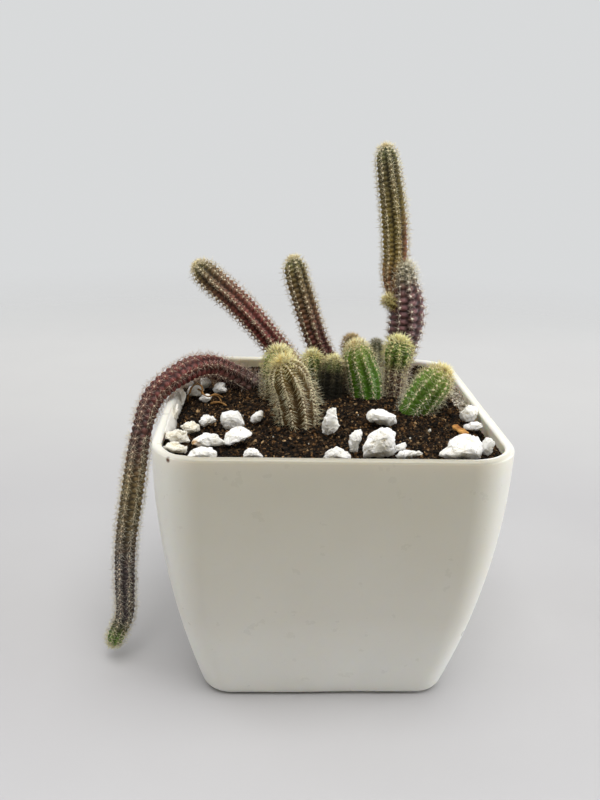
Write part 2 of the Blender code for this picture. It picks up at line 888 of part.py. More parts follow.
def make_plate(plate, parts, material, carriers):
    """A thin broken plate: a cube drawn out, with its corners bevelled, then lowered until it rests."""
    bm = bmesh.new()
    bmesh.ops.create_cube(bm, size=1.0)
    bm.transform(Matrix.Diagonal((*(length * MM for length in plate.size), 1.0)))
    offset = min(plate.size) * PLATE_BEVEL * MM
    bmesh.ops.bevel(bm, geom=list(bm.edges), offset=offset, segments=1, affect="EDGES", profile=0.5)
    turned = Matrix.Identity(4)
    for axis, degrees in zip("XYZ", plate.turns):
        turned = Matrix.Rotation(math.radians(degrees), 4, axis) @ turned
    bm.transform(Matrix.Translation((plate.place[0] * MM, plate.place[1] * MM, DROP_FROM)) @ turned)
    piece = add_object(plate.name, bm, parts, material)
    rest_on(piece, carriers)
    return piece


def make_fibre(parts, carriers):
    """A dry curled fibre: a thin tube along a short route, made a mesh and lowered until it rests."""
    curve = bpy.data.curves.new("fibre_route", "CURVE")
    curve.dimensions = "3D"
    curve.bevel_depth = FIBRE_RADIUS
    curve.bevel_resolution = 0
    curve.use_fill_caps = True
    rows = [(*row, 1.0) for row in FIBRE]
    route = [point for _, point, _ in curve_through(rows, FIBRE_SAMPLES)]
    spline = curve.splines.new("POLY")
    spline.points.add(len(route) - 1)
    for target, point in zip(spline.points, route):
        target.co = (point.x, point.y, point.z + DROP_FROM, 1.0)
    guide = bpy.data.objects.new("fibre_guide", curve)
    parts.objects.link(guide)
    bpy.context.view_layer.update()
    mesh = evaluated_mesh(guide)
    bpy.data.objects.remove(guide, do_unlink=True)
    bm = bmesh.new()
    bm.from_mesh(mesh)
    bmesh.ops.remove_doubles(bm, verts=bm.verts, dist=0.00001)
    bmesh.ops.recalc_face_normals(bm, faces=bm.faces)
    bpy.data.meshes.remove(mesh)
    piece = add_object("fibre", bm, parts, make_material("fibre", STRAW, 0.7))
    rest_on(piece, carriers)


def main():
    clear_scene()
    parts = make_collection("Potted monkey tail cactus")
    cutters = make_collection("Cutters")
    pot = make_pot(parts, cutters)
    soil = make_soil(parts, cutters, STANDING)
    for stem in STANDING:
        make_stem(stem, parts, (TALL, BUD) if stem is SEGMENT else ())
    pumice = make_material("pumice", PUMICE, 0.9)
    bark = make_material("bark", BARK, 0.8)
    carriers = [pot, soil]
    for number, stone in enumerate(STONES, 1):
        carriers.append(make_stone(f"pebble_{number:02d}", stone, parts, pumice, carriers))
    carriers.append(make_plate(CHIP, parts, bark, carriers))
    carriers.append(make_plate(FLAKE, parts, pumice, carriers))
    carriers.append(make_plate(PEEL, parts, pumice, carriers))
    make_fibre(parts, carriers)


main()
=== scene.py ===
"""Looks of the potted monkey tail cactus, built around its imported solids.

Lengths are in metres unless a name or comment says millimetres. +Z is up and the pot's front faces -Y.
"""

import json
import math
import random
from collections import namedtuple

import bmesh
import bpy
import numpy as np
from mathutils import Matrix, Vector, noise


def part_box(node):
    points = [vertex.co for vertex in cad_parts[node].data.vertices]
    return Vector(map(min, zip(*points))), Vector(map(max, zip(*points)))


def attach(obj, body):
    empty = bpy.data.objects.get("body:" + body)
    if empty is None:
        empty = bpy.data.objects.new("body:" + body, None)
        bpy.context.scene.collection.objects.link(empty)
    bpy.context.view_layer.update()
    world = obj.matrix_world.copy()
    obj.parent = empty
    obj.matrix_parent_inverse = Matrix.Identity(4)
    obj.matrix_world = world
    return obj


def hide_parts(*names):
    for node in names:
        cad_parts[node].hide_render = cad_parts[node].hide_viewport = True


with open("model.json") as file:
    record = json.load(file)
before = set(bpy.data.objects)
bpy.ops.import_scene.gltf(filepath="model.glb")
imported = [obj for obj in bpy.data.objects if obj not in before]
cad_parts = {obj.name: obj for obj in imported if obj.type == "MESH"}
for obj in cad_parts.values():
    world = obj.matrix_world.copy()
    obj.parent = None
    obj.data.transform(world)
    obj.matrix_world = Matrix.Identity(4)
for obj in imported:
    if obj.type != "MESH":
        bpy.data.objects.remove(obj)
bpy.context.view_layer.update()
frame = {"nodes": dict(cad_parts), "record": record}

MM = 0.001

# Pot
POT_WIDTH = 120.0 * MM
POT_HEIGHT = 100.7 * MM
BASE_WIDTH = 89.1 * MM
RIM_CORNER = 16.8 * MM
BASE_CORNER = 10.6 * MM
FLARE = 1.88
WALL = 2.4 * MM
LIP = 3.2 * MM
LIP_ROUND = 1.2 * MM
FOOT_ROUND = 3.0 * MM
FLOOR = 2.4 * MM
DRAIN_RADIUS = 3.0 * MM
DRAIN_REACH = 26.0 * MM
CORNER_STEPS = 16
SIDE_STEPS = 22
WALL_LEVELS = 34
ROUND_STEPS = 7

# Soil
SOIL_LEVEL = 96.0 * MM
MOUND_HEIGHT = 1.3 * MM
MOUND_SPREAD = 34.0 * MM
HEAP_PLACE = (45.0 * MM, 49.0 * MM)
HEAP_HEIGHT = 3.4 * MM
HEAP_SPREAD = 9.0 * MM
DIP_FROM = 50.5 * MM
DIP_TO = 56.0 * MM
DIP_DEPTH = 2.2 * MM
LUMP_HEIGHT = 0.6 * MM
LUMP_SIZE = 9.0 * MM
SOIL_CELL = 1.0 * MM
FINE_CRUMBS = (15000, 0.24, 0.58)
COARSE_CRUMBS = (2400, 0.45, 0.95)

# Stems
BURIED = 8.5 * MM
CAP_LENGTH = 1.15
BASE_RING = 0.3 * MM
BASE_FULLNESS = 0.8
CAP_END = math.radians(86)

# A stem's rows are (x, y, z, radius) in millimetres. Its flesh and its spines' tints are rows of
# (share of the length, red, green, blue). A pitch or length is a number or rows of (share, number).
Stem = namedtuple("Stem", "node rows ribs phase pitch groove notch cell flesh wool wool_size spine crown")
Spines = namedtuple(
    "Spines", "count length lay central_length radius tints droop centrals comb", defaults=(0.0, 2, 0)
)
Crown = namedtuple("Crown", "reach count length lift radius low high")

LEMON = (0.86, 0.80, 0.36)

TRAILING = Stem(
    "stem_trailing",
    (
        (-16, 31.5, 89, 4.6), (-24.5, 30.5, 93.8, 5), (-30.6, 28.5, 97.4, 5.2), (-36, 25, 101.8, 5),
        (-41.7, 20.5, 106.1, 4.8), (-46.5, 16, 108.6, 4.7), (-52.3, 8.3, 109.5, 4.6),
        (-59.4, 0.8, 106.6, 4.4), (-64, -3, 102.9, 4.2), (-66.7, -6.2, 97.8, 4), (-68.6, -10, 90.8, 3.8),
        (-70.4, -13, 80.4, 4.1), (-72.5, -16, 65.7, 4.2), (-74.9, -19, 48.4, 4), (-75.5, -21, 32, 3.8),
        (-75.8, -22.4, 20.3, 3.5), (-78.9, -23.2, 12.3, 3.2), (-80.8, -23.6, 7.1, 3.1),
    ),
    7, 40, ((0, 4.6), (0.12, 3.6), (0.22, 2.9), (0.42, 2.4), (0.6, 2.15), (1, 2)), 0.17, 0.17, 0.4,
    (
        (0, 0.085, 0.05, 0.042), (0.13, 0.12, 0.058, 0.05), (0.22, 0.16, 0.044, 0.038),
        (0.36, 0.17, 0.038, 0.032), (0.44, 0.115, 0.036, 0.032), (0.53, 0.1, 0.046, 0.034),
        (0.6, 0.17, 0.115, 0.042), (0.7, 0.13, 0.092, 0.036), (0.79, 0.07, 0.048, 0.046),
        (0.92, 0.052, 0.038, 0.042), (0.95, 0.09, 0.1, 0.03), (0.97, 0.09, 0.18, 0.022),
        (1, 0.13, 0.25, 0.03),
    ),
    (0.8, 0.68, 0.5), 0.36,
    Spines(11, ((0, 4.2), (0.15, 3.8), (0.3, 2.9), (0.45, 2.8), (1, 2.7)), 70, 2.5, 0.058, (
        (0, 0.62, 0.56, 0.5), (0.22, 0.66, 0.5, 0.4), (0.4, 0.58, 0.44, 0.34), (0.5, 0.84, 0.74, 0.56),
        (0.62, 0.84, 0.76, 0.5), (0.78, 0.88, 0.82, 0.7), (0.93, 0.82, 0.76, 0.58), (1, 0.8, 0.76, 0.4),
    ), 0.03),
    Crown(2.4, 12, 1.7, 42, 0.074, LEMON, LEMON),
)

LEANING = Stem(
    "stem_leaning",
    (
        (-2, 41.5, 88, 4), (-7, 40.3, 96, 4.4), (-13.4, 39.2, 105, 4.7), (-20.1, 38, 113.2, 4.9),
        (-30.8, 37, 125.9, 5.1), (-37.8, 36.7, 132.9, 5.2), (-44.2, 36.3, 138.5, 5.2),
        (-51.4, 36, 145.4, 5),
    ),
    8, 8, 2, 0.22, 0.17, 0.42,
    (
        (0, 0.12, 0.03, 0.028), (0.3, 0.18, 0.04, 0.036), (0.6, 0.22, 0.054, 0.046),
        (0.8, 0.19, 0.075, 0.044), (0.93, 0.16, 0.105, 0.044), (1, 0.15, 0.14, 0.045),
    ),
    (0.88, 0.78, 0.58), 0.44,
    Spines(9, 2.3, 64, 2.6, 0.068, ((0, 0.66, 0.5, 0.4), (0.7, 0.78, 0.64, 0.48), (1, 0.84, 0.74, 0.5))),
    Crown(5, 12, 2.5, 40, 0.078, (0.7, 0.54, 0.24), (0.94, 0.86, 0.56)),
)

BACK = Stem(
    "stem_back",
    (
        (8.2, 43.5, 87.5, 4), (5.2, 44, 96.5, 4.4), (2.5, 44, 105.4, 4.7), (-1.5, 44.8, 113.6, 4.9),
        (-7.1, 45.5, 129.9, 5), (-9.9, 46, 138.4, 4.9), (-12, 46, 147.2, 4.7),
    ),
    8, 20, 2.35, 0.22, 0.17, 0.42,
    (
        (0, 0.1, 0.034, 0.028), (0.42, 0.13, 0.04, 0.032), (0.58, 0.18, 0.075, 0.045),
        (0.75, 0.18, 0.115, 0.046), (0.92, 0.17, 0.13, 0.044), (1, 0.15, 0.16, 0.046),
    ),
    (0.88, 0.8, 0.6), 0.44,
    Spines(9, 2.3, 64, 2.7, 0.068, ((0, 0.6, 0.46, 0.36), (0.6, 0.8, 0.68, 0.48), (1, 0.88, 0.78, 0.52))),
    Crown(5, 12, 2.6, 40, 0.078, (0.7, 0.54, 0.24), (0.94, 0.86, 0.56)),
)

SEGMENT = Stem(
    "stem_tall",
    (
        (33.5, 41, 87.5, 4), (34.2, 41.4, 97, 5), (35.2, 42, 107.2, 6), (36.2, 42, 115.2, 7),
        (37, 42, 123, 7.4), (36.6, 42, 130.7, 7), (35.3, 42, 138.3, 5.2), (34.4, 42, 147, 3.4),
    ),
    9, -17, 3.2, 0.16, 0.15, 0.42,
    (
        (0, 0.12, 0.075, 0.065), (0.4, 0.16, 0.088, 0.085), (0.7, 0.18, 0.08, 0.088),
        (0.84, 0.15, 0.075, 0.065), (0.9, 0.24, 0.2, 0.13), (1, 0.3, 0.28, 0.18),
    ),
    (0.92, 0.86, 0.74), 0.56,
    Spines(9, 2.5, 62, 2.8, 0.074, (
        (0, 0.72, 0.62, 0.52), (0.8, 0.82, 0.72, 0.62), (0.9, 0.8, 0.77, 0.66), (1, 0.86, 0.84, 0.7),
    )),
    Crown(13, 13, 3.5, 54, 0.074, (0.74, 0.66, 0.46), (0.95, 0.9, 0.7)),
)

TALL = Stem(
    "stem_tall",
    (
        (34, 42, 127, 2.2), (31.3, 42.5, 133, 2.8), (30, 43.5, 138.2, 3.8), (30.2, 44.5, 143.2, 4.7),
        (30.8, 45, 149, 5.1), (30.4, 45, 155, 5.3), (29.4, 44.6, 163.6, 5.3), (27.8, 44, 172.6, 5.1),
        (25.8, 43.5, 182.4, 4.7), (23.8, 43.2, 192.8, 4),
    ),
    8, 17, 2.1, 0.22, 0.16, 0.4,
    (
        (0, 0.22, 0.095, 0.055), (0.2, 0.25, 0.125, 0.055), (0.33, 0.26, 0.18, 0.04),
        (0.52, 0.22, 0.165, 0.035), (0.72, 0.165, 0.128, 0.036), (0.9, 0.12, 0.098, 0.034),
        (1, 0.11, 0.13, 0.036),
    ),
    (0.9, 0.82, 0.58), 0.44,
    Spines(9, 2.3, 64, 2.8, 0.066, ((0, 0.72, 0.58, 0.38), (0.5, 0.8, 0.7, 0.42), (1, 0.88, 0.8, 0.54))),
    Crown(4.6, 13, 2.7, 40, 0.074, (0.7, 0.54, 0.24), (0.94, 0.86, 0.56)),
)

BUD = Stem(
    "stem_tall",
    ((33, 41, 128.6, 1.7), (29.9, 39.7, 130.2, 2.2), (27.2, 38.6, 132.4, 2.2)),
    7, 0, 1.3, 0.16, 0.12, 0.3,
    ((0, 0.2, 0.13, 0.04), (1, 0.24, 0.2, 0.05)),
    LEMON, 0.3,
    Spines(9, 1.9, 50, 2.2, 0.08, ((0, 0.62, 0.46, 0.18), (1, *LEMON))),
    Crown(3.8, 11, 3, 46, 0.092, (0.7, 0.54, 0.2), (0.96, 0.9, 0.56)),
)

BALL = Stem(
    "stem_ball",
    (
        (30.6, 21.2, 88, 3.4), (29.4, 19.8, 97, 3.9), (29.3, 19.5, 104.5, 4), (29.6, 19.6, 108.8, 4.4),
        (30.2, 19.8, 113.2, 5.4), (30.4, 19.8, 119.4, 5.3),
    ),
    9, 8, 2.3, 0.18, 0.14, 0.36,
    (
        (0, 0.13, 0.07, 0.055), (0.6, 0.15, 0.085, 0.06), (0.67, 0.12, 0.115, 0.035),
        (0.73, 0.09, 0.16, 0.014), (1, 0.11, 0.2, 0.016),
    ),
    (0.88, 0.78, 0.46), 0.52,
    Spines(10, ((0, 3), (0.6, 3.6), (0.72, 2.8), (1, 2.8)), 62, 3, 0.08, (
        (0, 0.74, 0.62, 0.48), (0.58, 0.84, 0.74, 0.54), (0.7, 0.9, 0.84, 0.44), (1, *LEMON),
    )),
    Crown(9, 9, 3.9, 50, 0.116, (0.88, 0.78, 0.26), (0.97, 0.95, 0.6)),
)

DARK = Stem(
    "stem_dark",
    ((22.4, 34.6, 88, 2.8), (22.8, 34.2, 97, 3.1), (23.2, 33.6, 106.8, 3.3), (23.2, 33, 115.4, 3.2)),
    8, 0, 1.9, 0.18, 0.12, 0.36,
    (
        (0, 0.12, 0.06, 0.045), (0.6, 0.1, 0.06, 0.04), (0.75, 0.075, 0.075, 0.03),
        (1, 0.075, 0.085, 0.032),
    ),
    (0.5, 0.46, 0.36), 0.34,
    Spines(9, 2.1, 60, 2.4, 0.064, ((0, 0.52, 0.46, 0.36), (0.7, 0.34, 0.31, 0.2), (1, 0.44, 0.4, 0.26))),
    Crown(4, 14, 2.2, 38, 0.056, (0.12, 0.12, 0.08), (0.48, 0.44, 0.28)),
)

HAIRY = Stem(
    "stem_hairy",
    (
        (-10, -14.6, 87.5, 5.4), (-10.6, -15.4, 96, 6.4), (-11.6, -15.2, 103.4, 6.8),
        (-13.6, -14.6, 111, 6.8), (-17.2, -16.8, 120.2, 6.6),
    ),
    9, -7, 1.15, 0.24, 0.03, 0.36,
    (
        (0, 0.105, 0.06, 0.022), (0.45, 0.125, 0.075, 0.026), (0.75, 0.13, 0.08, 0.022),
        (1, 0.15, 0.1, 0.02),
    ),
    (0.82, 0.74, 0.54), 0.56,
    Spines(6, ((0, 2.8), (1, 2.9)), 77, 4, 0.062, (
        (0, 0.9, 0.8, 0.54), (0.7, 0.95, 0.87, 0.58), (1, 0.96, 0.87, 0.48),
    ), 0.1, 3, 114),
    Crown(5.6, 10, 4, 46, 0.096, (0.82, 0.58, 0.16), (0.97, 0.92, 0.54)),
)

YELLOW = Stem(
    "stem_yellow",
    ((-18.4, 16, 88, 4.6), (-18.6, 14.8, 97, 5.4), (-18.2, 12.8, 107, 5.8), (-17.2, 11.2, 116.8, 5.8)),
    9, 0, 1.9, 0.2, 0.12, 0.36,
    ((0, 0.1, 0.06, 0.03), (0.5, 0.11, 0.08, 0.03), (0.75, 0.13, 0.17, 0.03), (1, 0.16, 0.25, 0.035)),
    (0.88, 0.76, 0.44), 0.46,
    Spines(10, 2.7, 60, 3, 0.078, (
        (0, 0.7, 0.64, 0.5), (0.6, 0.84, 0.78, 0.56), (0.8, *LEMON), (1, *LEMON),
    ), 0.05),
    Crown(8.4, 10, 3.5, 44, 0.116, (0.82, 0.68, 0.26), (0.97, 0.94, 0.64)),
)

SMALL = Stem(
    "stem_small",
    ((-2.2, 28.4, 88, 3.2), (-2.3, 28.2, 97, 3.7), (-2.9, 28, 104.2, 4), (-4, 27.8, 110.8, 3.9)),
    8, 10, 1.9, 0.22, 0.13, 0.34,
    (
        (0, 0.05, 0.04, 0.015), (0.5, 0.05, 0.055, 0.015), (0.72, 0.075, 0.115, 0.016),
        (1, 0.12, 0.17, 0.022),
    ),
    (0.88, 0.74, 0.38), 0.46,
    Spines(9, 2.3, 60, 2.6, 0.08, ((0, 0.66, 0.6, 0.44), (0.6, 0.86, 0.8, 0.5), (1, *LEMON))),
    Crown(6.6, 9, 3.6, 48, 0.124, (0.9, 0.74, 0.24), (0.97, 0.95, 0.6)),
)

# The lower stem, its wool and its spines are near-black: partly the stem's own dark colour, partly painted
# shade.
SHAGGY = Stem(
    "stem_shaggy",
    ((3.2, 14.2, 88, 3.7), (3.3, 14, 97, 4.3), (3.5, 13.9, 105.4, 4.5), (4.2, 13.8, 112.6, 4.4)),
    9, 10, 1.6, 0.2, 0.1, 0.36,
    (
        (0, 0.008, 0.008, 0.004), (0.8, 0.011, 0.011, 0.005), (0.92, 0.08, 0.1, 0.018),
        (1, 0.14, 0.17, 0.03),
    ),
    (0.05, 0.045, 0.025), 0.3,
    Spines(9, 2.7, 56, 3, 0.062, (
        (0, 0.03, 0.026, 0.018), (0.6, 0.045, 0.04, 0.026), (0.84, 0.2, 0.17, 0.09), (1, 0.9, 0.8, 0.44),
    ), 0.06),
    Crown(4.8, 8, 3.4, 48, 0.118, (0.86, 0.72, 0.28), (0.98, 0.95, 0.58)),
)

BRIGHT = Stem(
    "stem_green",
    (
        (18, 18, 87.5, 4.8), (18.2, 17.7, 97, 6.4), (17, 17.4, 104.4, 6.5), (14.4, 17, 112, 5.8),
        (12.6, 16.8, 118.4, 5.2),
    ),
    10, 2, 2.1, 0.15, 0.05, 0.36,
    (
        (0, 0.085, 0.2, 0.014), (0.45, 0.075, 0.2, 0.012), (0.7, 0.085, 0.19, 0.012),
        (0.9, 0.12, 0.21, 0.016), (1, 0.2, 0.26, 0.035),
    ),
    (0.92, 0.8, 0.54), 0.52,
    Spines(9, 2.7, 66, 3, 0.066, ((0, 0.88, 0.84, 0.66), (0.7, 0.9, 0.86, 0.58), (1, 0.94, 0.86, 0.46))),
    Crown(7, 9, 3.2, 46, 0.112, (0.8, 0.6, 0.24), (0.97, 0.94, 0.64)),
)

BROWNISH = Stem(
    "stem_brown",
    ((15.2, 38.4, 88, 3.2), (14.6, 38.2, 97, 3.7), (14.2, 38, 106.4, 4), (13.2, 38, 115.8, 4)),
    8, 0, 1.9, 0.2, 0.12, 0.36,
    ((0, 0.08, 0.05, 0.03), (0.7, 0.1, 0.07, 0.03), (1, 0.13, 0.11, 0.04)),
    (0.55, 0.42, 0.24), 0.4,
    Spines(9, 2.1, 60, 2.4, 0.07, ((0, 0.46, 0.34, 0.2), (1, 0.6, 0.42, 0.18))),
    Crown(5.4, 16, 2.7, 42, 0.072, (0.26, 0.15, 0.05), (0.74, 0.58, 0.28)),
)

RIGHT = Stem(
    "stem_right",
    (
        (31.4, 1.8, 88.6, 5), (35.4, 1.2, 97, 6.1), (39, 0.6, 103.4, 6.5), (42, 0.2, 108.2, 6.3),
        (45.2, 0, 112.9, 5.7),
    ),
    10, 12, 2.1, 0.16, 0.05, 0.36,
    (
        (0, 0.075, 0.17, 0.014), (0.5, 0.085, 0.19, 0.016), (0.78, 0.1, 0.19, 0.02),
        (0.92, 0.15, 0.22, 0.028), (1, 0.24, 0.27, 0.045),
    ),
    (0.92, 0.82, 0.58), 0.58,
    Spines(9, 3.1, 64, 3.4, 0.068, ((0, 0.86, 0.83, 0.7), (0.6, 0.88, 0.84, 0.6), (1, 0.94, 0.82, 0.38))),
    Crown(7.4, 9, 3.4, 46, 0.11, (0.82, 0.62, 0.2), (0.97, 0.91, 0.54)),
)

ONE_STEM = (TRAILING, LEANING, BACK, BALL, DARK, HAIRY, YELLOW, SMALL, SHAGGY, BRIGHT, BROWNISH, RIGHT)
SLOTS = {row["node"]: row["material_slot"] for row in frame["record"]["subparts"]}


# Meshes
def add_object(name, data):
    made = bpy.data.objects.new(name, data)
    bpy.context.scene.collection.objects.link(made)
    return made


def add_bmesh(name, bm):
    mesh = bpy.data.meshes.new(name)
    bm.to_mesh(mesh)
    bm.free()
    return add_object(name, mesh)


def make_piece(name, points, faces, tints, materials, smooth=True):
    """A mesh object from arrays: faces is a list of arrays, one for each number of corners."""
    mesh = bpy.data.meshes.new(name)
    faces = [np.asarray(group, np.int32) for group in faces if len(group)]
    loops = np.concatenate([group.ravel() for group in faces])
    sizes = np.concatenate([np.full(len(group), group.shape[1], np.int32) for group in faces])
    mesh.vertices.add(len(points))
    mesh.vertices.foreach_set("co", np.asarray(points, np.float32).ravel())
    mesh.loops.add(len(loops))
    mesh.loops.foreach_set("vertex_index", loops)
    mesh.polygons.add(len(sizes))
    mesh.polygons.foreach_set("loop_start", (np.cumsum(sizes) - sizes).astype(np.int32))
    mesh.polygons.foreach_set("loop_total", sizes)
    mesh.update(calc_edges=True)
    mesh.validate()
    full = np.ones((len(points), 4), np.float32)
    full[:, :3] = tints
    mesh.color_attributes.new("tint", "FLOAT_COLOR", "POINT").data.foreach_set("color", full.ravel())
    mesh.polygons.foreach_set("use_smooth", np.full(len(mesh.polygons), smooth))
    for material in materials:
        mesh.materials.append(material)
    return add_object(name, mesh)


def add_piece(piece, slot, *nodes):
    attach(piece, "root")
    if nodes:
        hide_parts(*nodes)


def sheet_faces(index):
    """Quads between the rows and columns of a grid of point numbers."""
    return np.stack([index[:-1, :-1], index[:-1, 1:], index[1:, 1:], index[1:, :-1]], -1).reshape(-1, 4)


def tube_faces(rings, sides):
    """The quads of a tube, which closes on itself around, and its two end caps."""
    index = np.arange(rings * sides).reshape(rings, sides)
    return [sheet_faces(np.hstack([index, index[:, :1]])), np.array([index[0, ::-1], index[-1]])]


def triples_at(shares, places, triples):
    """Rows of three numbers at shares of a length, between rows given at places."""
    return np.stack([np.interp(shares, places, triples[:, i]) for i in range(3)], -1)


def at_shares(value, shares):
    """A plain number as it is, or a number read at shares of a length from rows of (share, number)."""
    rows = np.array(value if isinstance(value, tuple) else ((0.0, value),))
    return np.interp(shares, rows[:, 0], rows[:, 1])


def mix_stops(stops, shares):
    """Colours at shares of a length, between rows of (share, red, green, blue)."""
    rows = np.array(stops)
    return triples_at(shares, rows[:, 0], rows[:, 1:])


def blend(one, two, share):
    return np.asarray(one) * (1 - share) + np.asarray(two) * share


def ring_directions(across, over, theta):
    """For each ring, the directions that point out of it at these angles."""
    return across[:, None] * np.cos(theta)[None, :, None] + over[:, None] * np.sin(theta)[None, :, None]


# Materials
SHADER_INPUTS = {
    "roughness": "Roughness",
    "specular": "Specular IOR Level",
    "coat": "Coat Weight",
    "coat_roughness": "Coat Roughness",
    "glow": "Subsurface Weight",
    "glow_depth": "Subsurface Scale",
    "glow_radius": "Subsurface Radius",
}
WHITE = (1.0, 1.0, 1.0)


class Tree:
    """Short ways to add and link the nodes of a material, or of the world."""

    def __init__(self, name, owners=bpy.data.materials):
        self.owner = owners.new(name)
        self.owner.use_nodes = True
        self.nodes = self.owner.node_tree.nodes
        self.shader = self.nodes.get("Principled BSDF")

    def node(self, kind, *fed, **values):
        """A new node with these values, and with its inputs fed by outputs or set to plain values."""
        made = self.nodes.new(kind)
        for name, value in values.items():
            setattr(made, name, value)
        for place, value in fed:
            target = made.inputs[place]
            if isinstance(value, bpy.types.NodeSocket):
                self.link(value, target)
            else:
                target.default_value = (*value, 1.0) if target.type == "RGBA" else value
        return made

    def link(self, output, target):
        self.owner.node_tree.links.new(output, target)

    def set(self, **values):
        for name, value in values.items():
            self.shader.inputs[SHADER_INPUTS[name]].default_value = value

    def place(self, kind="Object"):
        return self.node("ShaderNodeTexCoord").outputs[kind]

    def noise(self, scale, detail=4.0, roughness=0.55, stretch=None):
        place = self.place()
        if stretch:
            place = self.node("ShaderNodeMapping", ("Scale", stretch), ("Vector", place)).outputs["Vector"]
        fed = (("Scale", scale), ("Detail", detail), ("Roughness", roughness), ("Vector", place))
        return self.node("ShaderNodeTexNoise", *fed).outputs["Fac"]

    def ramp(self, value, stops):
        made = self.node("ShaderNodeValToRGB", ("Fac", value))
        elements = made.color_ramp.elements
        while len(elements) < len(stops):
            elements.new(0.5)
        for element, (place, level) in zip(elements, stops):
            element.position = place
            element.color = (*level, 1.0) if isinstance(level, tuple) else (level, level, level, 1.0)
        return made.outputs["Color"]

    def mix(self, factor, one, two, blend_type="MIX"):
        fed = ((0, factor), (6, one), (7, two))
        return self.node("ShaderNodeMix", *fed, data_type="RGBA", blend_type=blend_type).outputs[2]

    def times(self, one, two):
        return self.mix(1.0, one, (two, two, two) if isinstance(two, float) else two, "MULTIPLY")

    def maths(self, operation, *values, kind="ShaderNodeMath"):
        return self.node(kind, *enumerate(values), operation=operation).outputs["Value"]

    def tint(self):
        return self.node("ShaderNodeAttribute", attribute_name="tint").outputs["Color"]

    def bump(self, height, distance, strength, under=None):
        fed = [("Distance", distance), ("Strength", strength), ("Height", height)]
        if under:
            fed.append(("Normal", under))
        return self.node("ShaderNodeBump", *fed).outputs["Normal"]

    def finish(self, colour, roughness, normal):
        for value, name in ((colour, "Base Color"), (roughness, "Roughness"), (normal, "Normal")):
            if value is not None:
                self.link(value, self.shader.inputs[name])
        return self.owner


def flesh_material():
    """Cactus skin: the stem's own tint, blotched, finely pebbled and slightly waxy."""
    t = Tree("cactus_flesh")
    blotch = t.ramp(t.noise(260, 3), ((0.30, 0.72), (0.70, 1.30)))
    fine = t.ramp(t.noise(1900, 2), ((0.30, 0.80), (0.75, 1.22)))
    colour = t.times(t.times(t.tint(), blotch), fine)
    roughness = t.ramp(t.noise(700, 2), ((0.3, 0.42), (0.7, 0.66)))
    normal = t.bump(t.noise(3200, 3), 0.00010, 0.7, t.bump(t.noise(900, 2), 0.00025, 0.6))
    t.set(specular=0.35)
    return t.finish(colour, roughness, normal)


def spine_material(name, roughness):
    """Spines and wool: their own tint, streaked a little."""
    t = Tree(name)
    streak = t.ramp(t.noise(1500, 2), ((0.3, 0.82), (0.7, 1.16)))
    t.set(roughness=roughness, specular=0.3)
    uneven = t.ramp(t.noise(800, 2), ((0.3, roughness - 0.1), (0.7, roughness + 0.1)))
    return t.finish(t.times(t.tint(), streak), uneven, None)


def soil_material():
    """Potting mix: each crumb has its own tint, with finer grain and a rough, matte surface."""
    t = Tree("potting_mix")
    grain = t.ramp(t.noise(1500, 4, 0.7), ((0.28, 0.45), (0.52, 1.0), (0.78, 1.7)))
    fleck = t.ramp(t.noise(2600, 2), ((0.66, 0.0), (0.74, 1.0)))
    colour = t.mix(t.times(fleck, 0.25), t.times(t.tint(), grain), (0.30, 0.21, 0.12))
    normal = t.bump(t.noise(2600, 4, 0.7), 0.00030, 0.9, t.bump(t.noise(1000, 3), 0.0005, 0.7))
    t.set(specular=0.18)
    return t.finish(colour, t.ramp(t.noise(900, 2), ((0.3, 0.78), (0.7, 1.0))), normal)


def pumice_material():
    """Pumice: chalky white with fine pits, faint cream veils and hollows darkened by dust and painted shade.
    """
    t = Tree("pumice_stone")
    veil = t.ramp(t.noise(180, 4), ((0.34, (0.96, 0.945, 0.88)), (0.56, WHITE)))
    pits = t.node("ShaderNodeTexVoronoi", ("Scale", 900), ("Vector", t.place()), feature="F1")
    hollow = t.ramp(pits.outputs["Distance"], ((0.10, 0.0), (0.34, 1.0)))
    patches = t.ramp(t.noise(420, 2), ((0.46, 1.0), (0.60, 0.0)))
    pitted = t.mix(patches, hollow, WHITE)
    # Pit hollows darken: partly dust, partly painted shade.
    pit_dust_and_shade = t.ramp(pitted, ((0.0, (0.62, 0.56, 0.46)), (0.8, WHITE)))
    normal = t.bump(pitted, 0.00030, 0.8, t.bump(t.noise(1400, 5, 0.65), 0.00035, 0.8))
    t.set(specular=0.2, glow=0.6, glow_depth=0.0022, glow_radius=(1.0, 0.98, 0.92))
    roughness = t.ramp(t.noise(600, 2), ((0.3, 0.80), (0.7, 0.98)))
    return t.finish(t.times(t.times(t.tint(), veil), pit_dust_and_shade), roughness, normal)


SPECK_PLACE = (-0.0529, -0.0560, 0.0990)
SPECK_REACH = 0.0016


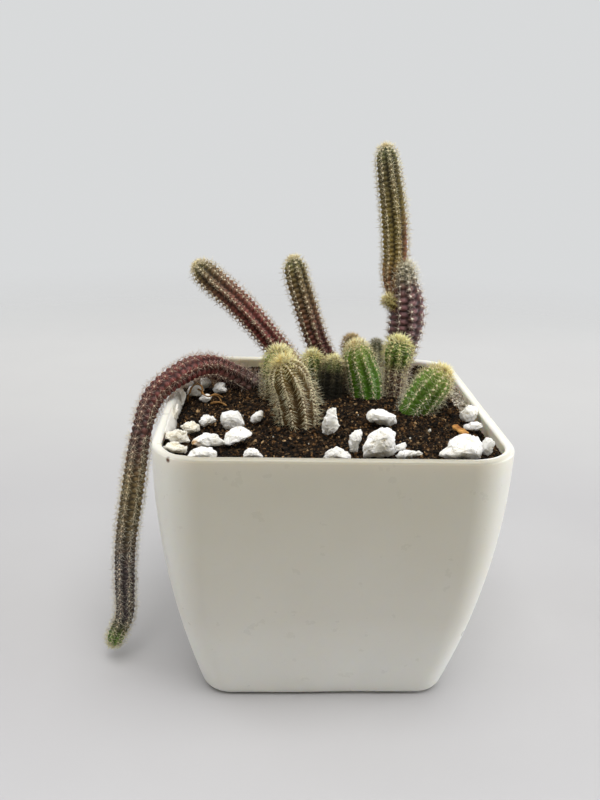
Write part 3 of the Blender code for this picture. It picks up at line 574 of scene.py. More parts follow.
def pot_material():
    """Moulded plastic: glossy ivory with faint scuffs, dust, fine texture and one brown speck."""
    t = Tree("pot_plastic")
    cloud = t.ramp(t.noise(26, 3), ((0.3, (0.965, 0.96, 0.945)), (0.7, WHITE)))
    scuff = t.ramp(t.noise(60, 5, 0.7, (1.0, 1.0, 9.0)), ((0.60, 0.0), (0.72, 1.0)))
    dust = t.ramp(t.noise(900, 3, 0.7), ((0.62, 0.0), (0.78, 1.0)))
    colour = t.mix(t.times(scuff, 0.10), t.times(t.tint(), cloud), (0.55, 0.51, 0.43))
    colour = t.mix(t.times(dust, 0.16), colour, (0.50, 0.44, 0.34))
    away = t.maths("DISTANCE", t.place(), SPECK_PLACE, kind="ShaderNodeVectorMath")
    speck = t.ramp(t.maths("MULTIPLY", away, 1.0 / SPECK_REACH), ((0.45, 1.0), (0.75, 0.0)))
    colour = t.mix(speck, colour, (0.10, 0.035, 0.010))
    base = t.ramp(t.noise(140, 4), ((0.3, 0.26), (0.7, 0.40)))
    roughness = t.mix(t.times(scuff, 0.5), base, (0.60, 0.60, 0.60))
    normal = t.bump(t.noise(700, 2), 0.00003, 0.20, t.bump(scuff, 0.00004, 0.25))
    t.set(specular=0.38, coat=0.05, coat_roughness=0.22)
    t.set(glow=0.30, glow_depth=0.006, glow_radius=(1.0, 0.74, 0.42))
    return t.finish(colour, roughness, normal)


def film_material():
    """Thin white film: smooth and faintly creased."""
    t = Tree("white_film")
    crease = t.noise(260, 3, 0.6, (1.0, 3.0, 1.0))
    # Painted shade: the film is a little darker in the hollows of its creases.
    colour = t.times(t.tint(), t.ramp(crease, ((0.3, (0.94, 0.92, 0.87)), (0.6, WHITE))))
    t.set(specular=0.35)
    return t.finish(colour, t.ramp(t.noise(300, 2), ((0.3, 0.40), (0.7, 0.60))), t.bump(crease, 0.0003, 0.4))


def bark_material():
    """Bark and dry fibre: the piece's own tint with long dark grain."""
    t = Tree("bark_and_fibre")
    grain = t.ramp(t.noise(500, 5, 0.7, (1.0, 3.0, 1.0)), ((0.3, 0.45), (0.65, 1.35)))
    normal = t.bump(t.noise(900, 4, 0.7, (1.0, 3.0, 1.0)), 0.0003, 0.8)
    t.set(specular=0.25)
    roughness = t.ramp(t.noise(500, 2), ((0.3, 0.62), (0.7, 0.9)))
    return t.finish(t.times(t.tint(), grain), roughness, normal)


# Pot
LIP_FROM = 94.7 * MM
UNDER_LIP = 0.4 * MM
# A quarter of a circle, as distances from its two tangents.
ANGLES = [math.radians(90.0 * step / ROUND_STEPS) for step in range(ROUND_STEPS + 1)]
QUARTER = [(1 - math.cos(angle), 1 - math.sin(angle)) for angle in ANGLES]


def rounded_square(half, corner, height):
    points = []
    for turn in range(4):
        quarter = Matrix.Rotation(turn * math.pi / 2, 3, "Z")
        centre = Vector((half - corner, half - corner, height))
        for step in range(CORNER_STEPS + 1):
            angle = step * math.pi / 2 / CORNER_STEPS
            points.append(quarter @ (centre + Vector((math.cos(angle), math.sin(angle), 0.0)) * corner))
        for step in range(1, SIDE_STEPS + 1):
            along = 1.0 - 2.0 * step / (SIDE_STEPS + 1)
            points.append(quarter @ Vector(((half - corner) * along, half, height)))
    return points


def outer_half(height):
    share = min(max(height / POT_HEIGHT, 0.0), 1.0)
    return (BASE_WIDTH + (POT_WIDTH - BASE_WIDTH) * (1.0 - (1.0 - share) ** FLARE)) / 2


def section(height, inset):
    share = min(max(height / POT_HEIGHT, 0.0), 1.0)
    corner = BASE_CORNER + (RIM_CORNER - BASE_CORNER) * share - inset
    return rounded_square(outer_half(height) - inset, corner, height)


def inside_sections(extra, top):
    found = []
    for step in range(WALL_LEVELS + 1):
        height = top + (FLOOR + FOOT_ROUND + extra - top) * step / WALL_LEVELS
        thicker = max(0.0, (height - LIP_FROM) / (POT_HEIGHT - LIP_ROUND - LIP_FROM))
        found.append(section(height, WALL + extra + (LIP - WALL) * min(1.0, thicker)))
    low, near = FLOOR + extra, WALL + extra
    return found + [section(low + FOOT_ROUND * up, near + FOOT_ROUND * out) for out, up in QUARTER[1:]]


def pot_sections():
    """Outlines of the pot up its outside, over the lip and down its inside."""
    low, high = FOOT_ROUND, POT_HEIGHT - LIP_ROUND
    found = [section(FOOT_ROUND * up, FOOT_ROUND * out) for up, out in QUARTER]
    found += [section(low + (high - low) * step / WALL_LEVELS, 0.0) for step in range(1, WALL_LEVELS)]
    found += [section(POT_HEIGHT - LIP_ROUND * down, LIP_ROUND * out) for out, down in QUARTER]
    found += [section(POT_HEIGHT - LIP_ROUND * down, LIP - LIP_ROUND * out) for out, down in QUARTER[::-1]]
    return found + inside_sections(0.0, high - UNDER_LIP)


def loft_arrays(sections):
    points = np.array([[tuple(p) for p in ring] for ring in sections]).reshape(-1, 3)
    return points, tube_faces(len(sections), len(sections[0]))


DENT = 0.22 * MM
CHIP_PLACE = (-53.5 * MM, -56.0 * MM)
CHIP_REACH = 6.0 * MM
CHIP_DEPTH = 0.5 * MM
NICK_DEPTH = 0.10 * MM
NICKS_FROM = POT_HEIGHT - 0.8 * MM
NICKS_LEFT_OF = -44.0 * MM


def make_pot():
    """The moulded pot: a little uneven, with a chipped left front corner and four drain holes."""
    points, faces = loft_arrays(pot_sections())
    for i, (x, y, z) in enumerate(points):
        dent = DENT * noise.noise(Vector((x, y, z * 0.4)) * 42.0)
        points[i, :2] *= 1.0 + dent / max(abs(x), abs(y), 0.02)
        if z > NICKS_FROM:
            chip = max(0.0, 1.0 - math.dist((x, y), CHIP_PLACE) / CHIP_REACH)
            nick = noise.noise(Vector((x, y, 0.3)) * 520.0)
            points[i, 2] -= CHIP_DEPTH * chip * (0.6 + nick) + NICK_DEPTH * nick * (x < NICKS_LEFT_OF)
    pot = make_piece("pot_moulded", points, faces, pot_tints(points), [POT])
    for turn in range(4):
        bm = bmesh.new()
        size = {"segments": 32, "radius1": DRAIN_RADIUS, "radius2": DRAIN_RADIUS, "depth": 3 * FLOOR}
        bmesh.ops.create_cone(bm, cap_ends=True, **size)
        corner = Matrix.Rotation(math.radians(45 + 90 * turn), 3, "Z")
        bmesh.ops.translate(bm, verts=bm.verts, vec=corner @ Vector((DRAIN_REACH, 0.0, FLOOR / 2)))
        drill = add_bmesh("drain", bm)
        boolean = pot.modifiers.new("drain", "BOOLEAN")
        boolean.object = drill
        boolean.solver = "EXACT"
        cut = modified_mesh(pot)
        pot.modifiers.clear()
        pot.data = cut
        bpy.data.objects.remove(drill)
    pot.data.shade_smooth()
    pot.data.set_sharp_from_angle(angle=math.radians(40))
    add_piece(pot, SLOTS["pot"], "pot")


def modified_mesh(piece):
    bpy.context.view_layer.update()
    return bpy.data.meshes.new_from_object(piece.evaluated_get(bpy.context.evaluated_depsgraph_get()))


IVORY_BELOW_PAINTED_SHADE = (0.77, 0.752, 0.70)
IVORY_IN_PAINTED_SHADE = (0.575, 0.552, 0.465)
SIDE_PAINTED_LIGHT = (0.92, 0.915, 0.86)
SIDE_PAINTED_LIGHT_SHARE = 0.65
RIM_SHADE = 0.76
RIM_SHADE_FROM = POT_HEIGHT - 0.9 * MM
INSIDE_FROM = 60 * MM
INSIDE_BY = 1.7 * MM
WALL_PAINTED_LIGHT = (0.93, 0.92, 0.87)
WALL_PAINTED_LIGHT_SPAN = (38 * MM, 52 * MM)
SOIL_DUST_AND_SHADE = (0.30, 0.22, 0.13)
CRUST = (0.92, 0.90, 0.84)
DUST_AND_SHADE_BELOW = POT_HEIGHT - 0.6 * MM
BACK_PAINTED_LIGHT = (0.80, 0.74, 0.58)
BACK_PAINTED_LIGHT_SHARE = 0.45


def rising(values, start, end):
    return np.clip((values - start) / (end - start), 0.0, 1.0)


def pot_tints(points):
    """Ivory with painted shade to the top, painted light on the sides and lower front, and painted shade on
    the front rim.

    Inside, painted light whitens the right wall, dust and painted shade lie near the soil with a pale crust,
    and painted light tints the back cream.
    """
    across, deep, high = (points[:, i : i + 1] / MM for i in range(3))
    # Painted shade: the ivory darkens toward the top of the pot.
    tints = blend(IVORY_BELOW_PAINTED_SHADE, IVORY_IN_PAINTED_SHADE, rising(high, 10, 90))
    # Painted light: the sides and the lower front are whitened.
    side = np.maximum(rising(np.abs(across), 44, 54), rising(deep, -54, -46))
    tints = blend(tints, blend(tints, SIDE_PAINTED_LIGHT, SIDE_PAINTED_LIGHT_SHARE), side)
    front = (points[:, 2:3] > RIM_SHADE_FROM) * rising(-deep, 48, 57)
    tints *= 1.0 - (1.0 - RIM_SHADE) * front
    for i, (x, y, z) in enumerate(points):
        if z <= INSIDE_FROM or not inside_rounded(x, y, outer_half(z) - INSIDE_BY, RIM_CORNER - INSIDE_BY):
            continue
        # Painted light: the inner right wall is whitened.
        tints[i] = blend(tints[i], WALL_PAINTED_LIGHT, eased(x, *WALL_PAINTED_LIGHT_SPAN))
        # Near the soil the inner wall darkens toward brown: partly soil dust, partly painted shade; on the
        # right some of it is a pale crust.
        if z < DUST_AND_SHADE_BELOW:
            cloud = noise.noise(Vector((x, y, z * 0.5)) * 210.0)
            above = (z - SOIL_LEVEL) / MM
            share = min(0.8, max(0.0, 0.10 - 0.14 * above + 0.50 * cloud))
            tints[i] = blend(tints[i], CRUST if cloud > 0.1 and x > 0 else SOIL_DUST_AND_SHADE, share)
        # Painted light: the inner back wall is tinted warm cream, as if lit through the plastic.
        if y > 40 * MM and x < 10 * MM:
            tints[i] = blend(tints[i], BACK_PAINTED_LIGHT, BACK_PAINTED_LIGHT_SHARE)
    return tints


# Soil
def soil_height(x, y):
    mound = MOUND_HEIGHT * math.exp(-(x * x + y * y) / MOUND_SPREAD**2)
    away = (x - HEAP_PLACE[0]) ** 2 + (y - HEAP_PLACE[1]) ** 2
    heap = HEAP_HEIGHT * math.exp(-away / HEAP_SPREAD**2)
    lumps = LUMP_HEIGHT * noise.noise(Vector((x / LUMP_SIZE, y / LUMP_SIZE, 3.7)))
    return SOIL_LEVEL + mound + heap + lumps - wall_dip(x, y)


def eased(value, start, end):
    share = min(1.0, max(0.0, (value - start) / (end - start)))
    return share * share * (3.0 - 2.0 * share)


DIP_FRONT = (-34.0 * MM, -22.0 * MM)
DIP_BACK = (30.0 * MM, 42.0 * MM)


def wall_dip(x, y):
    """How much lower the soil lies along the two side walls, away from the stones at the front."""
    back = eased(y, *DIP_FRONT) * (1.0 - eased(y, *DIP_BACK))
    return DIP_DEPTH * eased(abs(x), DIP_FROM, DIP_TO) * back


def inside_rounded(x, y, half, corner):
    dx, dy = max(abs(x) - (half - corner), 0.0), max(abs(y) - (half - corner), 0.0)
    return math.hypot(dx, dy) <= corner


# For each kind of crumb, the share of crumbs up to and with it, and its tint.
CRUMB_TINTS = (
    (0.50, (0.006, 0.004, 0.0025)), (0.78, (0.044, 0.022, 0.009)),
    (0.94, (0.16, 0.084, 0.033)), (1.0, (0.40, 0.26, 0.13)),
)


def crumb_tints(draw, count):
    """Mostly dark brown crumbs, some lighter, a few tan."""
    tints = np.empty((count, 3))
    for i in range(count):
        pick = draw.random()
        base = next(tint for most, tint in CRUMB_TINTS if pick < most)
        tints[i] = np.array(base) * draw.uniform(0.7, 1.3)
    return tints


SOIL_EDGE = 0.9 * MM
JITTER = 0.25
SOIL_GRAIN = 0.55
SOIL_ROUGH = 0.35
SOIL_SINK = 0.15
SHADE_BETWEEN_CRUMBS = 0.35
BELOW_TINT = (0.04, 0.025, 0.015)


def make_soil():
    """The mix as one rough sheet over a plain fill, and then its loose crumbs."""
    draw = random.Random("potting mix")
    half = outer_half(SOIL_LEVEL) - WALL
    corner = RIM_CORNER - WALL
    reach = half + SOIL_EDGE
    steps = int(reach // SOIL_CELL) + 1
    index = {}
    points = []
    for i in range(-steps, steps + 1):
        for j in range(-steps, steps + 1):
            x = i * SOIL_CELL + draw.uniform(-JITTER, JITTER) * SOIL_CELL
            y = j * SOIL_CELL + draw.uniform(-JITTER, JITTER) * SOIL_CELL
            if inside_rounded(x, y, reach, corner + SOIL_EDGE):
                index[(i, j)] = len(points)
                grain = SOIL_GRAIN * noise.noise(Vector((x, y, 0.0)) * 900.0)
                grain += SOIL_ROUGH * draw.uniform(-1, 1)
                points.append((x, y, soil_height(x, y) + (grain - SOIL_SINK) * MM))
    quads = []
    for (i, j), a in index.items():
        ring = [index.get(key) for key in ((i + 1, j), (i + 1, j + 1), (i, j + 1))]
        if None not in ring:
            quads.append((a, *ring))
    # Painted shade: the sheet that shows between the crumbs is darkened.
    tints = crumb_tints(draw, len(points)) * SHADE_BETWEEN_CRUMBS
    fill, fill_faces = loft_arrays(list(reversed(inside_sections(0.3 * MM, SOIL_LEVEL - 3.0 * MM)))[::4])
    faces = [np.array(quads)] + [group + len(points) for group in fill_faces]
    points = np.concatenate([np.array(points), fill])
    tints = np.concatenate([tints, np.tile(BELOW_TINT, (len(fill), 1))])
    add_piece(make_piece("soil_mix", points, faces, tints, [SOIL], smooth=False), SLOTS["soil"], "soil")
    make_crumbs(draw, half, corner)


def unit_icosahedron():
    bm = bmesh.new()
    bmesh.ops.create_icosphere(bm, subdivisions=1, radius=1.0)
    bm.verts.ensure_lookup_table()
    points = np.array([tuple(v.co) for v in bm.verts])
    faces = np.array([[v.index for v in f.verts] for f in bm.faces])
    bm.free()
    return points, faces


def unit_octahedron():
    points = np.array([(1, 0, 0), (0, 1, 0), (-1, 0, 0), (0, -1, 0), (0, 0, 1), (0, 0, -1)], float)
    rim = [(0, 1), (1, 2), (2, 3), (3, 0)]
    return points, np.array([(a, b, 4) for a, b in rim] + [(b, a, 5) for a, b in rim])


CORNER_REACH = (0.50, 1.25)
WIDEST = 1.15


def scatter(draw, places, radii, squash, shape=None):
    """Lumpy grains as one set of arrays: each is a ball with its corners moved in and out."""
    ball, ball_faces = shape or unit_icosahedron()
    shape_draw = np.random.default_rng(draw.randrange(1 << 30))
    count = len(places)
    lumps = shape_draw.uniform(*CORNER_REACH, (count, len(ball), 1))
    axes = shape_draw.normal(size=(count, 4))
    axes /= np.linalg.norm(axes, axis=1, keepdims=True)
    w, x, y, z = axes.T
    turn = np.stack([
        np.stack([1 - 2 * (y * y + z * z), 2 * (x * y - z * w), 2 * (x * z + y * w)], -1),
        np.stack([2 * (x * y + z * w), 1 - 2 * (x * x + z * z), 2 * (y * z - x * w)], -1),
        np.stack([2 * (x * z - y * w), 2 * (y * z + x * w), 1 - 2 * (x * x + y * y)], -1),
    ], 1)
    stretched = ball[None] * lumps * shape_draw.uniform(squash, WIDEST, (count, 1, 3))
    grains = np.einsum("nij,nkj->nki", turn, stretched) * np.asarray(radii)[:, None, None]
    points = (grains + np.asarray(places)[:, None]).reshape(-1, 3)
    faces = (ball_faces[None] + (np.arange(count) * len(ball))[:, None, None]).reshape(-1, 3)
    return points, faces, len(ball)


CRUMB_LIFT = (-0.35, 0.75)
CRUMB_SQUASH = 0.55


def make_crumbs(draw, half, corner):
    fine = ("soil_crumbs_fine", FINE_CRUMBS, unit_octahedron())
    coarse = ("soil_crumbs_coarse", COARSE_CRUMBS, unit_icosahedron())
    for name, (count, least, most), ball in (fine, coarse):
        places, radii = [], []
        while len(places) < count:
            x, y = draw.uniform(-half, half), draw.uniform(-half, half)
            if not inside_rounded(x, y, half - 0.4 * MM, corner):
                continue
            radius = MM * least * (most / least) ** (draw.random() ** 1.2)
            places.append((x, y, soil_height(x, y) + draw.uniform(*CRUMB_LIFT) * radius))
            radii.append(radius)
        tints = crumb_tints(draw, count)
        points, faces, corners = scatter(draw, places, radii, CRUMB_SQUASH, ball)
        colours = np.repeat(tints, corners, 0)
        add_piece(make_piece(name, points, [faces], colours, [SOIL], smooth=False), SLOTS["soil"])


# Growth
def curve_through(rows, samples=14):
    """A smooth curve through rows of (x, y, z, radius) in millimetres, as arrays in metres."""
    rows = np.array(rows) * MM
    rows = np.vstack([2 * rows[0] - rows[1], rows, 2 * rows[-1] - rows[-2]])
    fine = []
    for before, start, end, after in zip(rows, rows[1:], rows[2:], rows[3:]):
        square = 2 * before - 5 * start + 4 * end - after
        cube = 3 * start - before - 3 * end + after
        for step in range(samples):
            t = step / samples
            fine.append(0.5 * (2 * start + (end - before) * t + square * t**2 + cube * t**3))
    fine = np.array(fine + [rows[-2]])
    steps = np.linalg.norm(np.diff(fine[:, :3], axis=0), axis=1)
    return np.concatenate([[0.0], np.cumsum(steps)]), fine[:, :3], fine[:, 3]


def frames_at(length, place, stations):
    """Places, and two axes across the curve, turned as little as can be from station to station."""
    middle = triples_at(stations, length, place)
    step = 0.05 * MM
    ahead = triples_at(stations + step, length, place) - triples_at(stations - step, length, place)
    for i in range(1, len(ahead)):
        if np.linalg.norm(ahead[i]) < 1e-9:
            ahead[i] = ahead[i - 1]
    across, over = [], []
    side = None
    for direction in ahead / np.linalg.norm(ahead, axis=1, keepdims=True):
        if side is None:
            side = np.cross(direction, (0.0, 1.0, 0.1))
        side = side - direction * side.dot(direction)
        side = side / np.linalg.norm(side)
        across.append(side)
        over.append(np.cross(direction, side))
    return middle, np.array(across), np.array(over)


CROWDING = 1.3
CROWDED_PITCHES = 2.2


def areole_count(away, shares, pitch):
    """How many areoles lie between the tip and each station: they crowd at the tip."""
    pitches = at_shares(pitch, shares) * MM
    steps = -np.diff(away) / (0.5 * (pitches[1:] + pitches[:-1]))
    plain = np.concatenate([np.cumsum(steps[::-1])[::-1], [0.0]]) + away[-1] / pitches[-1]
    return plain + CROWDING * (1.0 - np.exp(-away / (CROWDED_PITCHES * pitches[-1])))


CREASE_DEPTH = 0.035
CREASE_WIDTH = 0.20


def dome_distance(stem, theta, count):
    """How far each point of a skin lies from the nearest tubercle's top, and how close to a crease.

    The tubercles of neighbouring ribs stand half a step apart, so the grooves between them zigzag.
    """
    turn = stem.ribs * (theta - math.radians(stem.phase)) / (2 * math.pi)
    squeeze = (stem.notch / stem.groove) ** 0.625
    nearest, apart = [], []
    for rib in (np.floor(turn), np.floor(turn) + 1):
        shift = 0.5 + 0.5 * ((rib % stem.ribs) % 2)
        up = count[:, None] - shift[None, :]
        up = np.abs(up - np.round(up))
        aside = (2 * (turn - rib))[None, :] ** 2
        nearest.append(aside + (2 * squeeze * up) ** 2)
        apart += [aside + (2 * up) ** 2, aside + (2 - 2 * up) ** 2]
    apart = np.sqrt(np.sort(np.array(apart), axis=0)[:2])
    crease = squeeze * np.exp((apart[0] - apart[1]) / CREASE_WIDTH)
    return np.minimum(np.min(nearest, axis=0), 1.3), crease


SMOOTH_FURROW = 0.55
RIDGE = 0.04
UNEVEN = 0.022
LIT = 1.20
FURROW_SHADE = 0.82
CREASE_SHADE = 0.22
MOTTLE = 0.30
FULL_RELIEF_AT = 2.0 * MM
COLUMNS = 44
FLUSH = (0.26, 0.085, 0.060)
FLUSH_FROM = (0.10, 0.22)
FLUSH_TO = (0.45, 0.66)


def unit_rows(rows):
    return rows / np.maximum(np.linalg.norm(rows, axis=2, keepdims=True), 1e-12)


class Body:
    """The skin of one stem as a grid of points, with what its areoles need to find their place."""

    def __init__(self, stem, buried):
        length, place, radius = curve_through(stem.rows)
        total = length[-1]
        cap = CAP_LENGTH * radius[-1]
        cell = stem.cell * MM
        below = np.linspace(BASE_RING, buried, 5)[:-1] if buried else np.array([BASE_RING])
        rings = max(8, round((total - cap - buried) / cell))
        shaft = np.linspace(buried + 2 * BASE_RING, total - cap, rings)
        angles = np.linspace(0, CAP_END, max(9, round(cap * 1.5 / cell)))[1:]
        stations = np.concatenate([below, shaft, total - cap + cap * np.sin(angles)])
        low = np.linspace(BASE_FULLNESS, 1.0, len(below))
        fullness = np.concatenate([low, np.ones(len(shaft)), np.cos(angles)])
        away = np.concatenate([total - cap - below, total - cap - shaft, -cap * angles])
        self.away = away + cap * math.pi / 2
        self.share = stations / total
        self.stem = stem
        self.sides = stem.ribs * max(5, round(COLUMNS / stem.ribs))
        middle, across, over = frames_at(length, place, stations)
        theta = 2 * math.pi * np.arange(self.sides) / self.sides
        self.count = areole_count(self.away, self.share, stem.pitch)
        near, crease = dome_distance(stem, theta, self.count)
        depth = stem.groove * near**0.8 + CREASE_DEPTH * crease
        fade = np.clip((stations - buried) / FULL_RELIEF_AT, 0.0, 1.0) * np.sqrt(fullness)
        relief = 1.0 + (RIDGE - depth) * fade[:, None]
        for ring in range(len(stations)):
            for side, angle in enumerate(theta):
                aside = across[ring] * math.cos(angle) + over[ring] * math.sin(angle)
                relief[ring, side] += UNEVEN * fade[ring] * noise.noise(Vector(middle[ring] * 260.0 + aside))
        full_radius = np.interp(stations, length, radius) * fullness
        self.outward = ring_directions(across, over, theta)
        self.points = middle[:, None] + self.outward * (full_radius[:, None] * relief)[..., None]
        self.tip = place[-1]
        self.base = place[0]
        along = np.gradient(self.points, axis=0)
        around = np.roll(self.points, -1, axis=1) - np.roll(self.points, 1, axis=1)
        self.normal = unit_rows(np.cross(around, along))
        self.along = unit_rows(along)
        mottle = [noise.noise(Vector(point) * 900.0) for point in self.points.reshape(-1, 3)]
        deep = SMOOTH_FURROW if stem in (BRIGHT, RIGHT) else 1.0
        shade = LIT - deep * (FURROW_SHADE * np.minimum(near, 1.1) + CREASE_SHADE * crease)
        self.shade = np.clip(shade + MOTTLE * np.array(mottle).reshape(near.shape), 0.14, 1.4)

    def arrays(self):
        rings, sides = self.points.shape[:2]
        points = np.concatenate([self.points.reshape(-1, 3), [self.base], [self.tip]])
        base, tip = rings * sides, rings * sides + 1
        around = np.arange(sides)
        after = (around + 1) % sides
        top = (rings - 1) * sides
        start = np.stack([np.full(sides, base), after, around], -1)
        end = np.stack([top + around, top + after, np.full(sides, tip)], -1)
        tint = mix_stops(self.stem.flesh, self.share)[:, None, :]
        if self.stem is TALL:
            share = rising(self.share, *FLUSH_FROM) * (1.0 - rising(self.share, *FLUSH_TO))
            red = np.clip(1.6 * self.outward[..., 0:1] - 0.5, 0.0, 1.0) * share[:, None, None]
            tint = blend(tint, FLUSH, red)
        tints = (tint * self.shade[..., None]).reshape(-1, 3)
        tints = np.concatenate([tints, tints[:1], tints[-1:]])
        return points, [tube_faces(rings, sides)[0], np.concatenate([start, end])], tints

    def areoles(self, ground):
        """Place, outward and upward directions, share of the length and distance from the tip."""
        found = []
        order = np.argsort(self.away)
        for rib in range(self.stem.ribs):
            angle = math.radians(self.stem.phase) + 2 * math.pi * rib / self.stem.ribs
            left = int(math.floor(angle / (2 * math.pi) * self.sides)) % self.sides
            number = 0.5 + 0.5 * (rib % 2)
            while number < self.count.max():
                ring = int(round(np.interp(number, self.count[order], order.astype(float))))
                number += 1.0
                point, share = self.points[ring, left], self.share[ring]
                if ground and share < 0.5 and point[2] < soil_height(point[0], point[1]) - 0.2 * MM:
                    continue
                found.append((point, self.normal[ring, left], self.along[ring, left], share, self.away[ring]))
        return found


def spindle_arrays(roots, middles, tips, radii, tints_low, tints_high):
    """Closed three-sided needles: thickest at their middle, where they also bend."""
    roots, middles, tips = np.asarray(roots), np.asarray(middles), np.asarray(tips)
    axis = tips - roots
    axis /= np.linalg.norm(axis, axis=1, keepdims=True)
    helper = np.where(np.abs(axis[:, 2:3]) < 0.8, np.array([[0.0, 0.0, 1.0]]), np.array([[1.0, 0.0, 0.0]]))
    one = np.cross(axis, helper)
    one /= np.linalg.norm(one, axis=1, keepdims=True)
    two = np.cross(axis, one)
    points = [roots]
    for k in range(3):
        angle = 2 * math.pi * k / 3
        points.append(middles + (one * math.cos(angle) + two * math.sin(angle)) * np.asarray(radii)[:, None])
    points = np.stack(points + [tips], 1).reshape(-1, 3)
    first = (np.arange(len(roots)) * 5)[:, None]
    corners = ((0, 2, 1), (4, 1, 2), (0, 3, 2), (4, 2, 3), (0, 1, 3), (4, 3, 1))
    tris = [first + np.array([three]) for three in corners]
    low, high = np.asarray(tints_low), np.asarray(tints_high)
    tints = np.stack([low] + [0.5 * (low + high)] * 3 + [high], 1).reshape(-1, 3)
    return points, [[], np.concatenate(tris)], tints


WOOL_AT_TIP = 0.45
WOOL_FULL_AT = 5 * MM
WOOL_LIFT = 0.06 * MM
WOOL_SQUASH = 0.75


def wool_arrays(areoles, colour, size, draw):
    """A small felted cushion in each areole, as a low lumpy ball."""
    places, radii = [], []
    for point, normal, _, _, away in areoles:
        crowd = min(1.0, WOOL_AT_TIP + away / WOOL_FULL_AT)
        places.append(point + normal * WOOL_LIFT)
        radii.append(size * MM * crowd * draw.uniform(0.85, 1.15))
    points, faces, corners = scatter(draw, places, radii, WOOL_SQUASH)
    tints = np.array([np.array(colour) * draw.uniform(0.8, 1.15) for _ in places])
    return points, [[], faces], np.repeat(tints, corners, 0)


DARK_SHARE = 0.26
DARK_SPINE = np.array((0.46, 0.36, 0.30))
BEND_AT = 0.45
BEND_SAG = 0.25
MIDDLE_OF_CROWN = 1.2 * MM
# Ranges of what differs from spine to spine: angles in degrees, and shares of a length, radius or tint.
CENTRAL_TILT = (6, 40)
LAY_CHANGE = (-16, 12)
TURN_CHANGE = (-14, 14)
COMB_CHANGE = (-20, 20)
LENGTHS = (0.68, 1.22)
BOWS = (-0.01, 0.05)
BRIGHTNESS = (0.80, 1.16)
THICKNESS = (0.75, 1.2)


def needle_arrays(stem, areoles, draw):
    """Radial spines that spread over the skin and central ones that stand off it, longer at the tip."""
    roots, middles, tips, radii, low, high = [], [], [], [], [], []
    spines, crown = stem.spine, stem.crown
    shares = np.array([row[3] for row in areoles])
    tints = mix_stops(spines.tints, shares)
    lengths = at_shares(spines.length, shares)
    down = np.array((0.0, 0.0, -1.0))
    for (point, normal, along, _, away), tint, length in zip(areoles, tints, lengths):
        side = np.cross(normal, along)
        young = min(1.0, 1.6 * max(0.0, 1.0 - away / (crown.reach * MM)))
        count = round(spines.count + (crown.count - spines.count) * young)
        if away < MIDDLE_OF_CROWN:
            count = max(4, count // 2)
        lay = spines.lay + (crown.lift - spines.lay) * young
        thick = spines.radius + (crown.radius - spines.radius) * young
        start = draw.uniform(0, 360)
        for k in range(count + spines.centrals):
            central = k >= count
            spread = draw.uniform(*CENTRAL_TILT) if central else lay + draw.uniform(*LAY_CHANGE)
            turn = start + 360 * k / count + draw.uniform(*TURN_CHANGE)
            if spines.comb and young < 0.6 and not central:
                turn = math.copysign(spines.comb, math.sin(math.radians(turn))) + draw.uniform(*COMB_CHANGE)
            around = math.radians(turn)
            tilt = math.radians(max(3.0, spread))
            aside = along * math.cos(around) + side * math.sin(around)
            direction = normal * math.cos(tilt) + aside * math.sin(tilt)
            plain = max(spines.central_length, 0.9 * length) if central else length
            size = (plain + (crown.length - plain) * young) * draw.uniform(*LENGTHS) * MM
            bow = normal * size * draw.uniform(*BOWS)
            sag = down * spines.droop * size
            roots.append(point + direction * 0.02 * MM)
            middles.append(point + direction * size * BEND_AT + sag * BEND_SAG + bow)
            tips.append(point + direction * size + sag)
            colour = blend(tint, blend(crown.low, crown.high, draw.random()), young)
            if draw.random() < DARK_SHARE * (1 - 0.7 * young):
                colour = colour * DARK_SPINE
            colour = colour * draw.uniform(*BRIGHTNESS)
            radii.append(thick * draw.uniform(*THICKNESS) * MM)
            low.append(colour * 0.80)
            high.append(np.minimum(colour * 1.12, 0.95))
    return spindle_arrays(roots, middles, tips, radii, low, high)


def marked_piece(name, groups, materials):
    """One piece from groups of arrays, each with the number of its material. Faces are [quads, triangles]."""
    points, tints, faces, marks = [], [], ([], []), ([], [])
    start = 0
    for (own_points, own_faces, own_tints), mark in groups:
        points.append(own_points)
        tints.append(own_tints)
        for i, kind in enumerate(own_faces):
            if len(kind):
                faces[i].append(kind + start)
                marks[i].append(np.full(len(kind), mark, np.int32))
        start += len(own_points)
    joined = [np.concatenate(kind) for kind in faces if kind]
    made = make_piece(name, np.concatenate(points), joined, np.concatenate(tints), materials)
    made.data.polygons.foreach_set("material_index", np.concatenate(marks[0] + marks[1]))
    return made


# The share of its length up to which each branch of stem_tall has no areoles.
BRANCH_BARE = (0.10, 0.30)


def make_stem(*stems):
    """The skin of a stem and its branches as one piece, and its wool and spines as another."""
    node = stems[0].node
    skins, coats = [], []
    for i, stem in enumerate(stems):
        draw = random.Random(f"{node} {i}")
        body = Body(stem, BURIED if i == 0 else 0.0)
        skins.append((body.arrays(), 0))
        areoles = body.areoles(i == 0)
        if i:
            areoles = [row for row in areoles if row[3] > BRANCH_BARE[i - 1]]
        coats.append((wool_arrays(areoles, stem.wool, stem.wool_size, draw), 0))
        coats.append((needle_arrays(stem, areoles, draw), 1))
    add_piece(marked_piece(node + "_skin", skins, [FLESH]), SLOTS[node], node)
    add_piece(marked_piece(node + "_spines", coats, [WOOL, SPINE]), SLOTS[node], node)


# View
CAMERA = (
    Matrix.Translation((-0.02337, -0.28649, 0.19762))
    @ Matrix.Rotation(-0.0479, 4, "Z")
    @ Matrix.Rotation(math.pi / 2 - 0.3272, 4, "X")
    @ Matrix.Rotation(0.0283, 4, "Z")
)
FOCAL_SHARE = 790.5 / 800.0
SENSOR = 36.0


